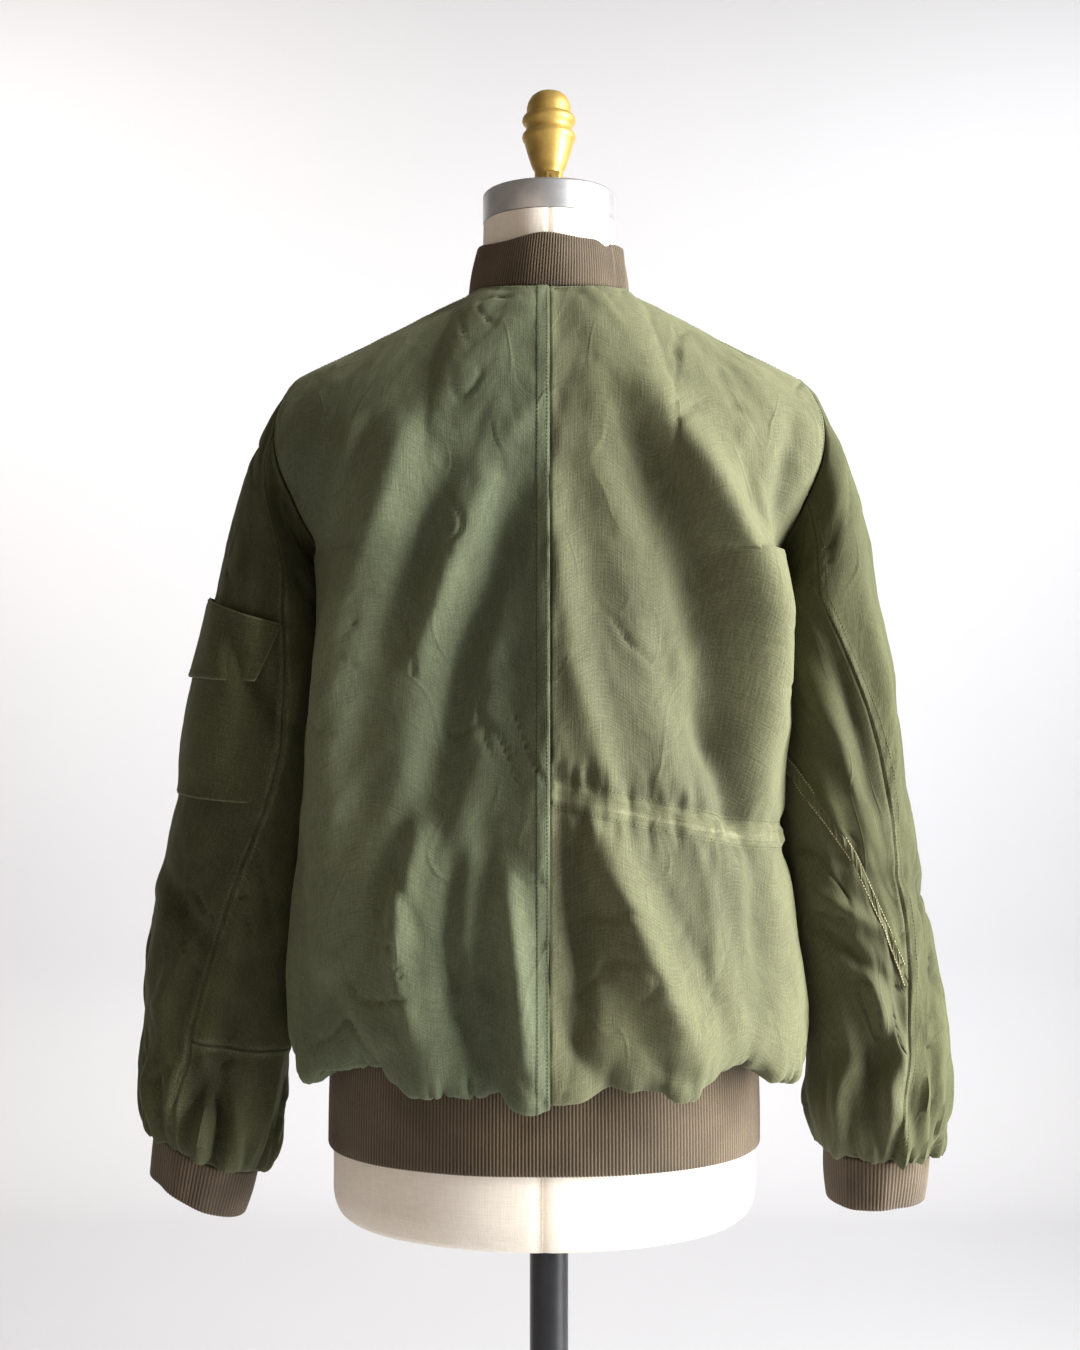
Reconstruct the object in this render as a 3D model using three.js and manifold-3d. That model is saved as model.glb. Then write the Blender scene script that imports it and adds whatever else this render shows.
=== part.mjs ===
// Patchwork bomber jacket with a rib knit collar, waistband and cuffs, on a limbless dress form.
// Millimetres, +Z up. The origin is the centre of the stand's underside.
// The jacket's front faces -Y and the wearer's left is +X.
import * as THREE from 'three';
import { mergeVertices } from 'three/addons/utils/BufferGeometryUtils.js';
import Module from 'manifold-3d';

const wasm = await Module();
wasm.setup();

// Driving dimensions
const clothThickness = 1.4;
const ribThickness = 2.6;
const seamGap = 0.3;
const layerGap = 0.6;
const pocketGap = 0.9;
const armholeGap = 1.0;
const underarmHeight = 1297;
const backNeckHeight = 1505;
const frontNeckHeight = 1484;
const neckPointHeight = 1512;
const shoulderPointHeight = 1443;
const neckHalfWidth = 66;
const neckBackDepth = 70;
const neckFrontDepth = 72;
const shoulderHalfWidth = 207;
const bandTop = 899.4;
const bandBottom = 822;
const ribPitch = 5.5;
const ribRise = 0.7;
const collarRibPitch = 4.8;
const zipHalfWidth = 7;
const poleRadius = 15.9;
const baseRadius = 165;
const baseThickness = 14;
const formBottom = 757;
const hipShift = 4;
const capBottom = 1571;
const capTop = 1595;
const capRadius = 54.5;

// Shape values of the cloth: roundness of the yoke's sections, small gathers beside the waist and cuff
// seams, the way a sleeve cap leaves the armhole, and the sleeve's flat size in which its folds are placed.
const yokePower = 0.86;
const bodyGather = { height: 1.1, rows: 6 };
const sleeveGather = { height: 1.2, rows: 5 };
const capLeave = { out: 0.42, outMore: 0.12, aside: 0.3, down: 0.85, handle: 0.36, arriveOut: 0.12 };
const sleeveFlat = { girth: 400, length: 450 };

// Body rings from the waist seam (level 0) over the bloused roll up to the underarm (level 1).
// halfWidth, back and front are the ring's reach; zipZ and zipFront are the centre front's own line.
const bodyRings = [
  { level: 0.0, z: 902.5, halfWidth: 177, back: 119.5, front: 117.5, zipZ: 902.5, zipFront: 117.5, power: 0.9 },
  { level: 0.03, z: 893, halfWidth: 190, back: 133, front: 128, zipZ: 912, zipFront: 121, power: 0.89 },
  { level: 0.06, z: 888, halfWidth: 200, back: 143, front: 136, zipZ: 922, zipFront: 123, power: 0.88 },
  { level: 0.1, z: 893, halfWidth: 207, back: 150, front: 142, zipZ: 934, zipFront: 126, power: 0.87 },
  { level: 0.16, z: 913, halfWidth: 209, back: 154, front: 144, zipZ: 948, zipFront: 129, power: 0.87 },
  { level: 0.28, z: 965, halfWidth: 203, back: 154, front: 142, zipZ: 985, zipFront: 132, power: 0.86 },
  { level: 0.45, z: 1045, halfWidth: 192, back: 149, front: 138, zipZ: 1050, zipFront: 133, power: 0.86 },
  { level: 0.65, z: 1140, halfWidth: 185, back: 143, front: 134, zipZ: 1140, zipFront: 132, power: 0.86 },
  { level: 0.85, z: 1230, halfWidth: 181, back: 137, front: 131, zipZ: 1230, zipFront: 130, power: 0.86 },
  { level: 1.0, z: 1297, halfWidth: 183, back: 133, front: 128, zipZ: 1297, zipFront: 128, power: 0.86 },
];

// Armhole edge and centre lines from the underarm (rise 0) to the shoulder and neck (rise 1).
const yokeRows = [
  { rise: 0.0, armX: 183, armBack: 0, armFront: 0, back: 133, front: 128, sweep: 90 },
  { rise: 0.08, armX: 189, armBack: 30, armFront: 30, back: 132, front: 127, sweep: 80 },
  { rise: 0.25, armX: 201, armBack: 52, armFront: 50, back: 130, front: 124, sweep: 70 },
  { rise: 0.5, armX: 215, armBack: 62, armFront: 58, back: 125, front: 115, sweep: 62 },
  { rise: 0.72, armX: 218, armBack: 52, armFront: 49, back: 114, front: 101, sweep: 56 },
  { rise: 0.88, armX: 213, armBack: 33, armFront: 31, back: 97, front: 88, sweep: 50 },
  { rise: 0.96, armX: 209, armBack: 17, armFront: 16, back: 81, front: 78, sweep: 46 },
  { rise: 1.0, armX: 207, armBack: 0, armFront: 0, back: 70, front: 72, sweep: 44 },
];

// Hanging lobes of the roll. turn runs from 0 at the centre back over 1 at a side seam to 2 at the zip.
const hemLobes = [
  { turn: 0.02, width: 0.05, drop: 8, swell: 4 },
  { turn: 0.12, width: 0.05, drop: -4, swell: -4 },
  { turn: 0.23, width: 0.07, drop: 6, swell: 4 },
  { turn: 0.46, width: 0.12, drop: -14, swell: -5 },
  { turn: 0.68, width: 0.07, drop: 5, swell: 3 },
  { turn: 0.95, width: 0.1, drop: -2, swell: 0 },
  { turn: 1.22, width: 0.08, drop: -8, swell: -5 },
  { turn: 1.42, width: 0.08, drop: 6, swell: 5 },
  { turn: 1.62, width: 0.07, drop: -5, swell: -5 },
  { turn: 1.78, width: 0.06, drop: 3, swell: 5 },
  { turn: -0.11, width: 0.06, drop: -4, swell: -4 },
  { turn: -0.26, width: 0.07, drop: 6, swell: 5 },
  { turn: -0.48, width: 0.11, drop: -15, swell: -6 },
  { turn: -0.7, width: 0.07, drop: 4, swell: 3 },
  { turn: -0.94, width: 0.1, drop: -2, swell: 0 },
  { turn: -1.2, width: 0.08, drop: -7, swell: -5 },
  { turn: -1.38, width: 0.08, drop: 6, swell: 5 },
  { turn: -1.58, width: 0.07, drop: -6, swell: -5 },
  { turn: -1.77, width: 0.06, drop: 3, swell: 5 },
];

// Main folds of the back, as soft ridges (depth above 0) and troughs between two points seen from behind.
const backFolds = [
  { x1: 14, z1: 1400, x2: 92, z2: 1190, width: 24, depth: 4.5 },
  { x1: 92, z1: 1388, x2: 152, z2: 1225, width: 19, depth: -5 },
  { x1: 66, z1: 1230, x2: 98, z2: 990, width: 30, depth: 5 },
  { x1: 34, z1: 1060, x2: 50, z2: 910, width: 15, depth: -4.5 },
  { x1: 138, z1: 1110, x2: 112, z2: 920, width: 22, depth: 4.5 },
  { x1: -62, z1: 1405, x2: -150, z2: 1225, width: 23, depth: 5 },
  { x1: -134, z1: 1400, x2: -146, z2: 1290, width: 13, depth: -6 },
  { x1: -22, z1: 1200, x2: -30, z2: 915, width: 15, depth: 4 },
  { x1: -62, z1: 1060, x2: -52, z2: 915, width: 18, depth: -4 },
  { x1: -112, z1: 1080, x2: -126, z2: 925, width: 24, depth: 5 },
];

// Main folds of the two fronts.
const frontFolds = [
  { x1: 40, z1: 1395, x2: 128, z2: 1215, width: 22, depth: 4.5 },
  { x1: 96, z1: 1400, x2: 150, z2: 1280, width: 15, depth: -5 },
  { x1: 62, z1: 1150, x2: 84, z2: 925, width: 24, depth: 5 },
  { x1: 120, z1: 1090, x2: 132, z2: 930, width: 18, depth: -4.5 },
  { x1: -44, z1: 1400, x2: -132, z2: 1205, width: 24, depth: 4.5 },
  { x1: -104, z1: 1395, x2: -152, z2: 1290, width: 14, depth: -5 },
  { x1: -58, z1: 1140, x2: -70, z2: 920, width: 22, depth: 5 },
  { x1: -122, z1: 1100, x2: -118, z2: 930, width: 20, depth: -4.5 },
];

// Sleeve rings from below the underarm (down 0) to the cuff seam (down 1), x counted outwards.
// tilt turns the ring in the photo's plane; backSeam and frontSeam are the seams' places round the ring.
const leftSleeveRings = [
  { down: 0.0, z: 1262, x: 230, y: -4, halfWidth: 43, halfDepth: 80, tilt: 0, backSeam: 118, frontSeam: 290 },
  { down: 0.18, z: 1180, x: 240, y: -6, halfWidth: 52, halfDepth: 75, tilt: 2, backSeam: 124, frontSeam: 288 },
  { down: 0.36, z: 1100, x: 249, y: -8, halfWidth: 56, halfDepth: 70, tilt: 4, backSeam: 115, frontSeam: 282 },
  { down: 0.52, z: 1028, x: 260, y: -8, halfWidth: 60, halfDepth: 66, tilt: 6, backSeam: 99, frontSeam: 276 },
  { down: 0.67, z: 960, x: 271, y: -6, halfWidth: 60, halfDepth: 64, tilt: 9, backSeam: 90, frontSeam: 270 },
  { down: 0.8, z: 900, x: 275, y: -4, halfWidth: 58, halfDepth: 63, tilt: 14, backSeam: 80, frontSeam: 262 },
  { down: 0.9, z: 855, x: 276, y: -2, halfWidth: 57, halfDepth: 61, tilt: 19, backSeam: 72, frontSeam: 256 },
  { down: 0.96, z: 824, x: 278, y: 0, halfWidth: 53, halfDepth: 56, tilt: 22, backSeam: 69, frontSeam: 252 },
  { down: 0.985, z: 813, x: 280, y: 0, halfWidth: 48, halfDepth: 50, tilt: 23, backSeam: 69, frontSeam: 250 },
  { down: 1.0, z: 812, x: 282, y: 0, halfWidth: 42, halfDepth: 42, tilt: 23, backSeam: 69, frontSeam: 250 },
];
const rightSleeveRings = [
  { down: 0.0, z: 1262, x: 228, y: -4, halfWidth: 41, halfDepth: 80, tilt: 0, backSeam: 112, frontSeam: 284 },
  { down: 0.18, z: 1180, x: 237, y: -6, halfWidth: 49, halfDepth: 75, tilt: 1, backSeam: 78, frontSeam: 280 },
  { down: 0.36, z: 1100, x: 244, y: -8, halfWidth: 52, halfDepth: 70, tilt: 2, backSeam: 62, frontSeam: 276 },
  { down: 0.52, z: 1028, x: 253, y: -8, halfWidth: 54, halfDepth: 66, tilt: 3, backSeam: 62, frontSeam: 272 },
  { down: 0.67, z: 960, x: 265, y: -6, halfWidth: 54, halfDepth: 64, tilt: 4, backSeam: 68, frontSeam: 270 },
  { down: 0.8, z: 900, x: 272, y: -4, halfWidth: 56, halfDepth: 63, tilt: 2, backSeam: 78, frontSeam: 268 },
  { down: 0.9, z: 855, x: 271, y: -2, halfWidth: 59, halfDepth: 61, tilt: 0, backSeam: 84, frontSeam: 268 },
  { down: 0.96, z: 824, x: 270, y: 0, halfWidth: 54, halfDepth: 56, tilt: 0, backSeam: 86, frontSeam: 268 },
  { down: 0.985, z: 813, x: 270, y: 0, halfWidth: 50, halfDepth: 50, tilt: 0, backSeam: 86, frontSeam: 268 },
  { down: 1.0, z: 812, x: 270, y: 0, halfWidth: 43, halfDepth: 43, tilt: 0, backSeam: 86, frontSeam: 268 },
];

// Main folds of the sleeves, between two places given round the ring (degrees) and down the sleeve.
const leftSleeveFolds = [
  { around1: 60, down1: 0.02, around2: 120, down2: 0.2, width: 12, depth: -4 },
  { around1: 20, down1: 0.5, around2: 100, down2: 0.62, width: 12, depth: -4 },
  { around1: 70, down1: 0.8, around2: 130, down2: 0.94, width: 11, depth: -4 },
  { around1: 120, down1: 0.45, around2: 95, down2: 0.76, width: 12, depth: 4 },
  { around1: 250, down1: 0.42, around2: 320, down2: 0.56, width: 13, depth: -5 },
  { around1: 240, down1: 0.7, around2: 300, down2: 0.86, width: 13, depth: -4 },
];
const rightSleeveFolds = [
  { around1: 60, down1: 0.0, around2: 50, down2: 0.38, width: 11, depth: 4 },
  { around1: 100, down1: 0.1, around2: 80, down2: 0.34, width: 12, depth: -4 },
  { around1: 60, down1: 0.5, around2: 135, down2: 0.44, width: 10, depth: -4 },
  { around1: 80, down1: 0.7, around2: 120, down2: 0.92, width: 11, depth: -4.5 },
  { around1: 250, down1: 0.4, around2: 318, down2: 0.52, width: 13, depth: -5 },
  { around1: 235, down1: 0.68, around2: 295, down2: 0.86, width: 13, depth: -4 },
];

// Where the lower under-piece of a sleeve starts, as a share of the way from its back to its front value.
const crossSeamShare = [
  { around: 0.25, share: 0 },
  { around: 0.375, share: 0 },
  { around: 0.44, share: 0.38 },
  { around: 0.52, share: 0.7 },
  { around: 0.6, share: 0.91 },
  { around: 0.75, share: 1 },
];

// Row heights of the two under-pieces along the back seam and along the front seam.
const leftUpperRows = {
  back: [0, 0.07, 0.145, 0.25, 0.36, 0.47, 0.58, 0.68, 0.78],
  front: [0, 0.07, 0.145, 0.25, 0.36, 0.47, 0.58, 0.68, 0.78],
};
const leftLowerRows = {
  back: [0.78, 0.86, 0.92, 0.96, 0.985, 1],
  front: [0.78, 0.86, 0.92, 0.96, 0.985, 1],
};
const rightUpperRows = {
  back: [0, 0.07, 0.145, 0.25, 0.36, 0.47, 0.58, 0.68],
  front: [0, 0.02, 0.04, 0.07, 0.08, 0.09, 0.1, 0.12],
};
const rightLowerRows = {
  back: [0.68, 0.7, 0.73, 0.755, 0.78, 0.82, 0.86, 0.89, 0.92, 0.94, 0.96, 0.985, 1],
  front: [0.12, 0.145, 0.25, 0.36, 0.47, 0.58, 0.68, 0.78, 0.86, 0.92, 0.96, 0.985, 1],
};

// Dress form sections.
const formRings = [
  { z: 757, halfWidth: 150, halfDepth: 94, shift: 4 },
  { z: 760, halfWidth: 163, halfDepth: 106, shift: 4 },
  { z: 768, halfWidth: 170, halfDepth: 111, shift: 4 },
  { z: 784, halfWidth: 173, halfDepth: 114, shift: 4 },
  { z: 905, halfWidth: 171, halfDepth: 113.5, shift: 4 },
  { z: 960, halfWidth: 166, halfDepth: 112, shift: 3 },
  { z: 1050, halfWidth: 148, halfDepth: 102, shift: 2 },
  { z: 1130, halfWidth: 138, halfDepth: 95, shift: 1 },
  { z: 1220, halfWidth: 148, halfDepth: 102, shift: 0 },
  { z: 1320, halfWidth: 160, halfDepth: 108, shift: 0 },
  { z: 1400, halfWidth: 166, halfDepth: 98, shift: 0 },
  { z: 1440, halfWidth: 166, halfDepth: 82, shift: 0 },
  { z: 1462, halfWidth: 150, halfDepth: 68, shift: 0 },
  { z: 1478, halfWidth: 118, halfDepth: 60, shift: 0 },
  { z: 1490, halfWidth: 78, halfDepth: 56, shift: 0 },
  { z: 1500, halfWidth: 60, halfDepth: 55.5, shift: 0 },
  { z: 1540, halfWidth: 55, halfDepth: 54.5, shift: 0 },
  { z: 1570.7, halfWidth: 54, halfDepth: 54, shift: 0 },
];

// Grid steps shared by neighbouring panels
const across = [0, 0.1, 0.19, 0.26, 0.32, 0.41, 0.5, 0.59, 0.68, 0.77, 0.85, 0.93, 1];
const bodyLevels = [0, 0.03, 0.06, 0.1, 0.16, 0.24, 0.34, 0.45, 0.555, 0.63, 0.75, 0.88, 1];
const yokeSteps = 12;
const sleeveSteps = 24;
const capSteps = 5;
const sleeveDowns = [0, 0.07, 0.145, 0.25, 0.36, 0.47, 0.58, 0.68, 0.78, 0.86, 0.92, 0.96, 0.985, 1];

const radians = THREE.MathUtils.degToRad;
const vec = (x, y, z) => new THREE.Vector3(x, y, z);

// Smooth reading of a table's named column, by cubic pieces through its rows.
function read(rows, key, name, at) {
  const last = rows.length - 1;
  let i = 0;
  while (i < last - 1 && rows[i + 1][key] < at) i += 1;
  const slope = (j) => {
    const before = rows[Math.max(j - 1, 0)];
    const after = rows[Math.min(j + 1, last)];
    return (after[name] - before[name]) / (after[key] - before[key]);
  };
  const span = rows[i + 1][key] - rows[i][key];
  const t = THREE.MathUtils.clamp((at - rows[i][key]) / span, 0, 1);
  const a = rows[i][name];
  const b = rows[i + 1][name];
  const curve = (1 + 2 * t) * (1 - t) ** 2 * a + t * t * (3 - 2 * t) * b;
  return curve + span * (t * (1 - t) ** 2 * slope(i) - t * t * (1 - t) * slope(i + 1));
}

// Height of a soft fold at a point: a ridge of bell section between two ends that fade out.
function foldHeight(px, py, x1, y1, x2, y2, width, depth) {
  const length = Math.hypot(x2 - x1, y2 - y1);
  const along = ((px - x1) * (x2 - x1) + (py - y1) * (y2 - y1)) / (length * length);
  const aside = ((px - x1) * (y2 - y1) - (py - y1) * (x2 - x1)) / length;
  const past = Math.max(0, -along, along - 1) * length;
  const middle = 1 - 0.45 * Math.min(1, Math.abs(2 * along - 1));
  return depth * middle * Math.exp(-((aside / width) ** 2) - (past / (1.4 * width)) ** 2);
}

// The rise above the underarm for a step of the yoke, closer together near the shoulder.
const yokeRise = (step) => Math.sin((Math.PI / 2) * (step / yokeSteps)) ** 1.3;

// Top edge of a body panel: neckline from the centre to the neck point, then the shoulder seam.
function topEdge(s, isBack) {
  const x = shoulderHalfWidth * s;
  const centreHeight = isBack ? backNeckHeight : frontNeckHeight;
  const depth = isBack ? neckBackDepth : -neckFrontDepth;
  if (x <= neckHalfWidth) {
    const t = x / neckHalfWidth;
    const lift = (neckPointHeight - centreHeight) * t * t;
    return { y: depth * Math.max(0, 1 - t ** 2.4) ** 0.6, z: centreHeight + lift };
  }
  const t = (x - neckHalfWidth) / (shoulderHalfWidth - neckHalfWidth);
  return { y: 0, z: neckPointHeight + (shoulderPointHeight - neckPointHeight) * t };
}

// Point of the plain jacket body: s runs from the centre line (0) to the side seam or armhole (1).
function bodyPoint(side, isBack, s, level) {
  const facing = isBack ? 1 : -1;
  const turn = side * (isBack ? s : 2 - s);
  if (level <= 1) {
    const zipLine = isBack ? 0 : Math.exp(-((s / 0.16) ** 2));
    const power = read(bodyRings, 'level', 'power', level);
    const angle = radians(90 * s);
    const halfWidth = read(bodyRings, 'level', 'halfWidth', level);
    const full = read(bodyRings, 'level', isBack ? 'back' : 'front', level);
    const depth = full + (read(bodyRings, 'level', 'zipFront', level) - full) * zipLine;
    const height = read(bodyRings, 'level', 'z', level);
    const z = height + (read(bodyRings, 'level', 'zipZ', level) - height) * zipLine;
    const x = halfWidth * Math.max(0, Math.sin(angle)) ** power;
    const y = depth * Math.max(0, Math.cos(angle)) ** power;
    const roll = Math.exp(-(((level - 0.09) / 0.09) ** 2)) * Math.min(1, level / 0.03) * (1 - zipLine);
    let drop = 0;
    let swell = 0;
    for (const lobe of hemLobes) {
      const bell = Math.exp(-(((turn - lobe.turn) / lobe.width) ** 2));
      drop += lobe.drop * bell;
      swell += lobe.swell * bell;
    }
    const reach = 1 + (roll * swell) / Math.hypot(x, y);
    return vec(side * x * reach, facing * y * reach, z - roll * drop);
  }
  const rise = level - 1;
  const sweep = radians(read(yokeRows, 'rise', 'sweep', rise));
  const power = yokePower;
  const armX = read(yokeRows, 'rise', 'armX', rise);
  const armY = read(yokeRows, 'rise', isBack ? 'armBack' : 'armFront', rise);
  const centreY = read(yokeRows, 'rise', isBack ? 'back' : 'front', rise);
  const arc = (at) => (Math.max(0, Math.cos(sweep * at)) ** power - Math.cos(sweep) ** power)
    / (1 - Math.cos(sweep) ** power);
  const edgeSweep = radians(read(yokeRows, 'rise', 'sweep', 1));
  const topArc = (Math.cos(edgeSweep * s) ** power - Math.cos(edgeSweep) ** power)
    / (1 - Math.cos(edgeSweep) ** power);
  const straight = rise ** 3;
  const sine = (Math.sin(sweep * s) / Math.sin(sweep)) ** power;
  const x = armX * (sine + (s - sine) * straight);
  const top = topEdge(s, isBack);
  const rollOver = 1 - Math.sqrt(Math.max(0, 1 - rise * rise));
  const topPlain = (isBack ? neckBackDepth : neckFrontDepth) * topArc;
  const y = armY + (centreY - armY) * arc(s) + rollOver * (Math.abs(top.y) - topPlain);
  return vec(side * x, facing * y, underarmHeight + rise * (top.z - underarmHeight));
}

// Outward direction of a surface given as a function of two coordinates.
function outward(point, u, v, sign) {
  const step = 0.002;
  const alongU = point(Math.min(1, u + step), v).sub(point(Math.max(0, u - step), v));
  const alongV = point(u, v + step).sub(point(u, v - step));
  return alongV.cross(alongU).normalize().multiplyScalar(sign);
}

// Grid of the master points of one quarter of the body, with its folds.
function bodyQuarter(side, isBack) {
  const folds = isBack ? backFolds : frontFolds;
  const levels = [...bodyLevels];
  for (let i = 1; i <= yokeSteps; i += 1) levels.push(1 + yokeRise(i));
  const points = levels.map((level, row) => across.map((s, column) => {
    const surface = (u, v) => bodyPoint(side, isBack, u, v);
    const place = surface(s, level);
    const safeLevel = Math.min(Math.max(level, 0.003), 1.996);
    const normal = outward(surface, s, safeLevel, side * (isBack ? 1 : -1));
    let height = 0;
    for (const fold of folds) {
      const { x1, z1, x2, z2, width, depth } = fold;
      height += foldHeight(place.x, place.z, x1, z1, x2, z2, width, depth);
    }
    const gather = column % 2 === 0 ? 1 : -1;
    const gatherHere = row > 0 && row < bodyGather.rows
      ? gather * bodyGather.height * (1 - row / bodyGather.rows) : 0;
    const edge = Math.min(1, (1 - s) / 0.2) * (level > 1 ? Math.min(1, (2 - level) / 0.3) : 1);
    const seamHold = Math.min(1, level / 0.05) * Math.min(1, s / 0.05 + (isBack ? 1 : 0));
    return place.addScaledVector(normal, (height * edge + gatherHere) * seamHold);
  }));
  return points;
}

// Normals of a point grid; sign turns them outwards.
function gridNormals(points, sign) {
  const rows = points.length;
  const columns = points[0].length;
  return points.map((row, i) => row.map((_, j) => {
    const alongRow = points[i][Math.min(j + 1, columns - 1)].clone().sub(points[i][Math.max(j - 1, 0)]);
    const alongColumn = points[Math.min(i + 1, rows - 1)][j].clone().sub(points[Math.max(i - 1, 0)][j]);
    return alongRow.cross(alongColumn).normalize().multiplyScalar(sign);
  }));
}

// A place between the grid's lines, column and row counted in steps that may be broken.
function between(grid, row, column) {
  const i = Math.min(Math.floor(row), grid.length - 2);
  const j = Math.min(Math.floor(column), grid[0].length - 2);
  const low = grid[i][j].clone().lerp(grid[i][j + 1], column - j);
  const high = grid[i + 1][j].clone().lerp(grid[i + 1][j + 1], column - j);
  return low.lerp(high, row - i);
}

// Closed wall between an outer and an inner grid. Edges are drawn back by half a seam gap.
function wall(outer, inner, name, colour, roughness, startGap = seamGap) {
  const rows = outer.length;
  const columns = outer[0].length;
  const drawBack = (grid) => {
    const result = grid.map((row) => row.map((p) => p.clone()));
    const pull = (i, j, k, l, gap) => {
      const step = grid[k][l].clone().sub(grid[i][j]);
      result[i][j].addScaledVector(step.normalize(), gap / 2);
    };
    for (let j = 0; j < columns; j += 1) {
      pull(0, j, 1, j, startGap);
      pull(rows - 1, j, rows - 2, j, seamGap);
    }
    for (let i = 0; i < rows; i += 1) {
      pull(i, 0, i, 1, seamGap);
      pull(i, columns - 1, i, columns - 2, seamGap);
    }
    return result;
  };
  const faces = [drawBack(outer), drawBack(inner)];
  const positions = [];
  for (const face of faces) {
    for (const row of face) {
      for (const p of row) positions.push(p.x, p.y, p.z);
    }
  }
  const at = (layer, i, j) => (layer * rows + i) * columns + j;
  const index = [];
  const quad = (a, b, c, d) => index.push(a, b, c, a, c, d);
  const steps = columns - 1;
  for (let i = 0; i < rows - 1; i += 1) {
    for (let j = 0; j < steps; j += 1) {
      quad(at(0, i, j), at(0, i, j + 1), at(0, i + 1, j + 1), at(0, i + 1, j));
      quad(at(1, i, j), at(1, i + 1, j), at(1, i + 1, j + 1), at(1, i, j + 1));
    }
    quad(at(0, i, 0), at(0, i + 1, 0), at(1, i + 1, 0), at(1, i, 0));
    quad(at(0, i, steps), at(1, i, steps), at(1, i + 1, steps), at(0, i + 1, steps));
  }
  for (let j = 0; j < steps; j += 1) {
    const top = rows - 1;
    quad(at(0, 0, j), at(1, 0, j), at(1, 0, j + 1), at(0, 0, j + 1));
    quad(at(0, top, j), at(0, top, j + 1), at(1, top, j + 1), at(1, top, j));
  }
  return closedMesh(positions, index, name, colour, roughness, 0);
}

// Mesh of a closed body; its triangles are turned over when they enclose a negative volume.
function closedMesh(positions, index, name, colour, roughness, metalness) {
  let volume = 0;
  const corner = (i) => vec(positions[3 * i], positions[3 * i + 1], positions[3 * i + 2]);
  for (let i = 0; i < index.length; i += 3) {
    volume += corner(index[i]).dot(corner(index[i + 1]).cross(corner(index[i + 2])));
  }
  if (volume < 0) {
    for (let i = 0; i < index.length; i += 3) [index[i], index[i + 1]] = [index[i + 1], index[i]];
  }
  const geometry = new THREE.BufferGeometry();
  geometry.setAttribute('position', new THREE.Float32BufferAttribute(positions, 3));
  geometry.setIndex(index);
  geometry.computeVertexNormals();
  return named(geometry, name, colour, roughness, metalness);
}

// Mesh with its node's name and a plain colour
function named(geometry, name, colour, roughness, metalness) {
  const material = new THREE.MeshStandardMaterial({ color: colour, roughness, metalness });
  const mesh = new THREE.Mesh(geometry, material);
  mesh.name = name;
  return mesh;
}

// Points moved along their normals
function moved(points, normals, distance) {
  return points.map((row, i) => row.map((p, j) => p.clone().addScaledVector(normals[i][j], distance)));
}

// Part of a grid; place gives the broken row and column for each step of the part.
function part(grid, rows, columns, place = (row, column) => [row, column]) {
  return rows.map((row, i) => columns.map((column, j) => between(grid, ...place(row, column, i, j))));
}

// Wall over part of a grid whose outer face lies lift above the grid's own points.
function panel(source, rows, columns, name, colour, options = {}) {
  const { lift = 0, thickness = clothThickness, place = undefined, startGap = seamGap } = options;
  const outer = part(moved(source.points, source.normals, lift), rows, columns, place);
  const inner = part(moved(source.points, source.normals, lift - thickness), rows, columns, place);
  return wall(outer, inner, name, colour, 0.9, startGap);
}

// Triangles between two lines of corners whose ends match.
function stitch(index, first, second) {
  let i = 0;
  let j = 0;
  while (i < first.length - 1 || j < second.length - 1) {
    const nextFirst = (i + 1) / (first.length - 1);
    const nextSecond = (j + 1) / (second.length - 1);
    if (j === second.length - 1 || (i < first.length - 1 && nextFirst <= nextSecond)) {
      index.push(first[i], first[i + 1], second[j]);
      i += 1;
    } else {
      index.push(first[i], second[j + 1], second[j]);
      j += 1;
    }
  }
}

// A line of points at even steps along a path
function evenly(path, steps) {
  const lengths = [0];
  for (let i = 1; i < path.length; i += 1) lengths.push(lengths[i - 1] + path[i].distanceTo(path[i - 1]));
  const total = lengths[lengths.length - 1];
  const line = [];
  let k = 0;
  for (let i = 0; i <= steps; i += 1) {
    const at = (total * i) / steps;
    while (k < path.length - 2 && lengths[k + 1] < at) k += 1;
    const share = Math.min(1, (at - lengths[k]) / (lengths[k + 1] - lengths[k]));
    line.push(path[k].clone().lerp(path[k + 1], share));
  }
  return line;
}

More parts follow.
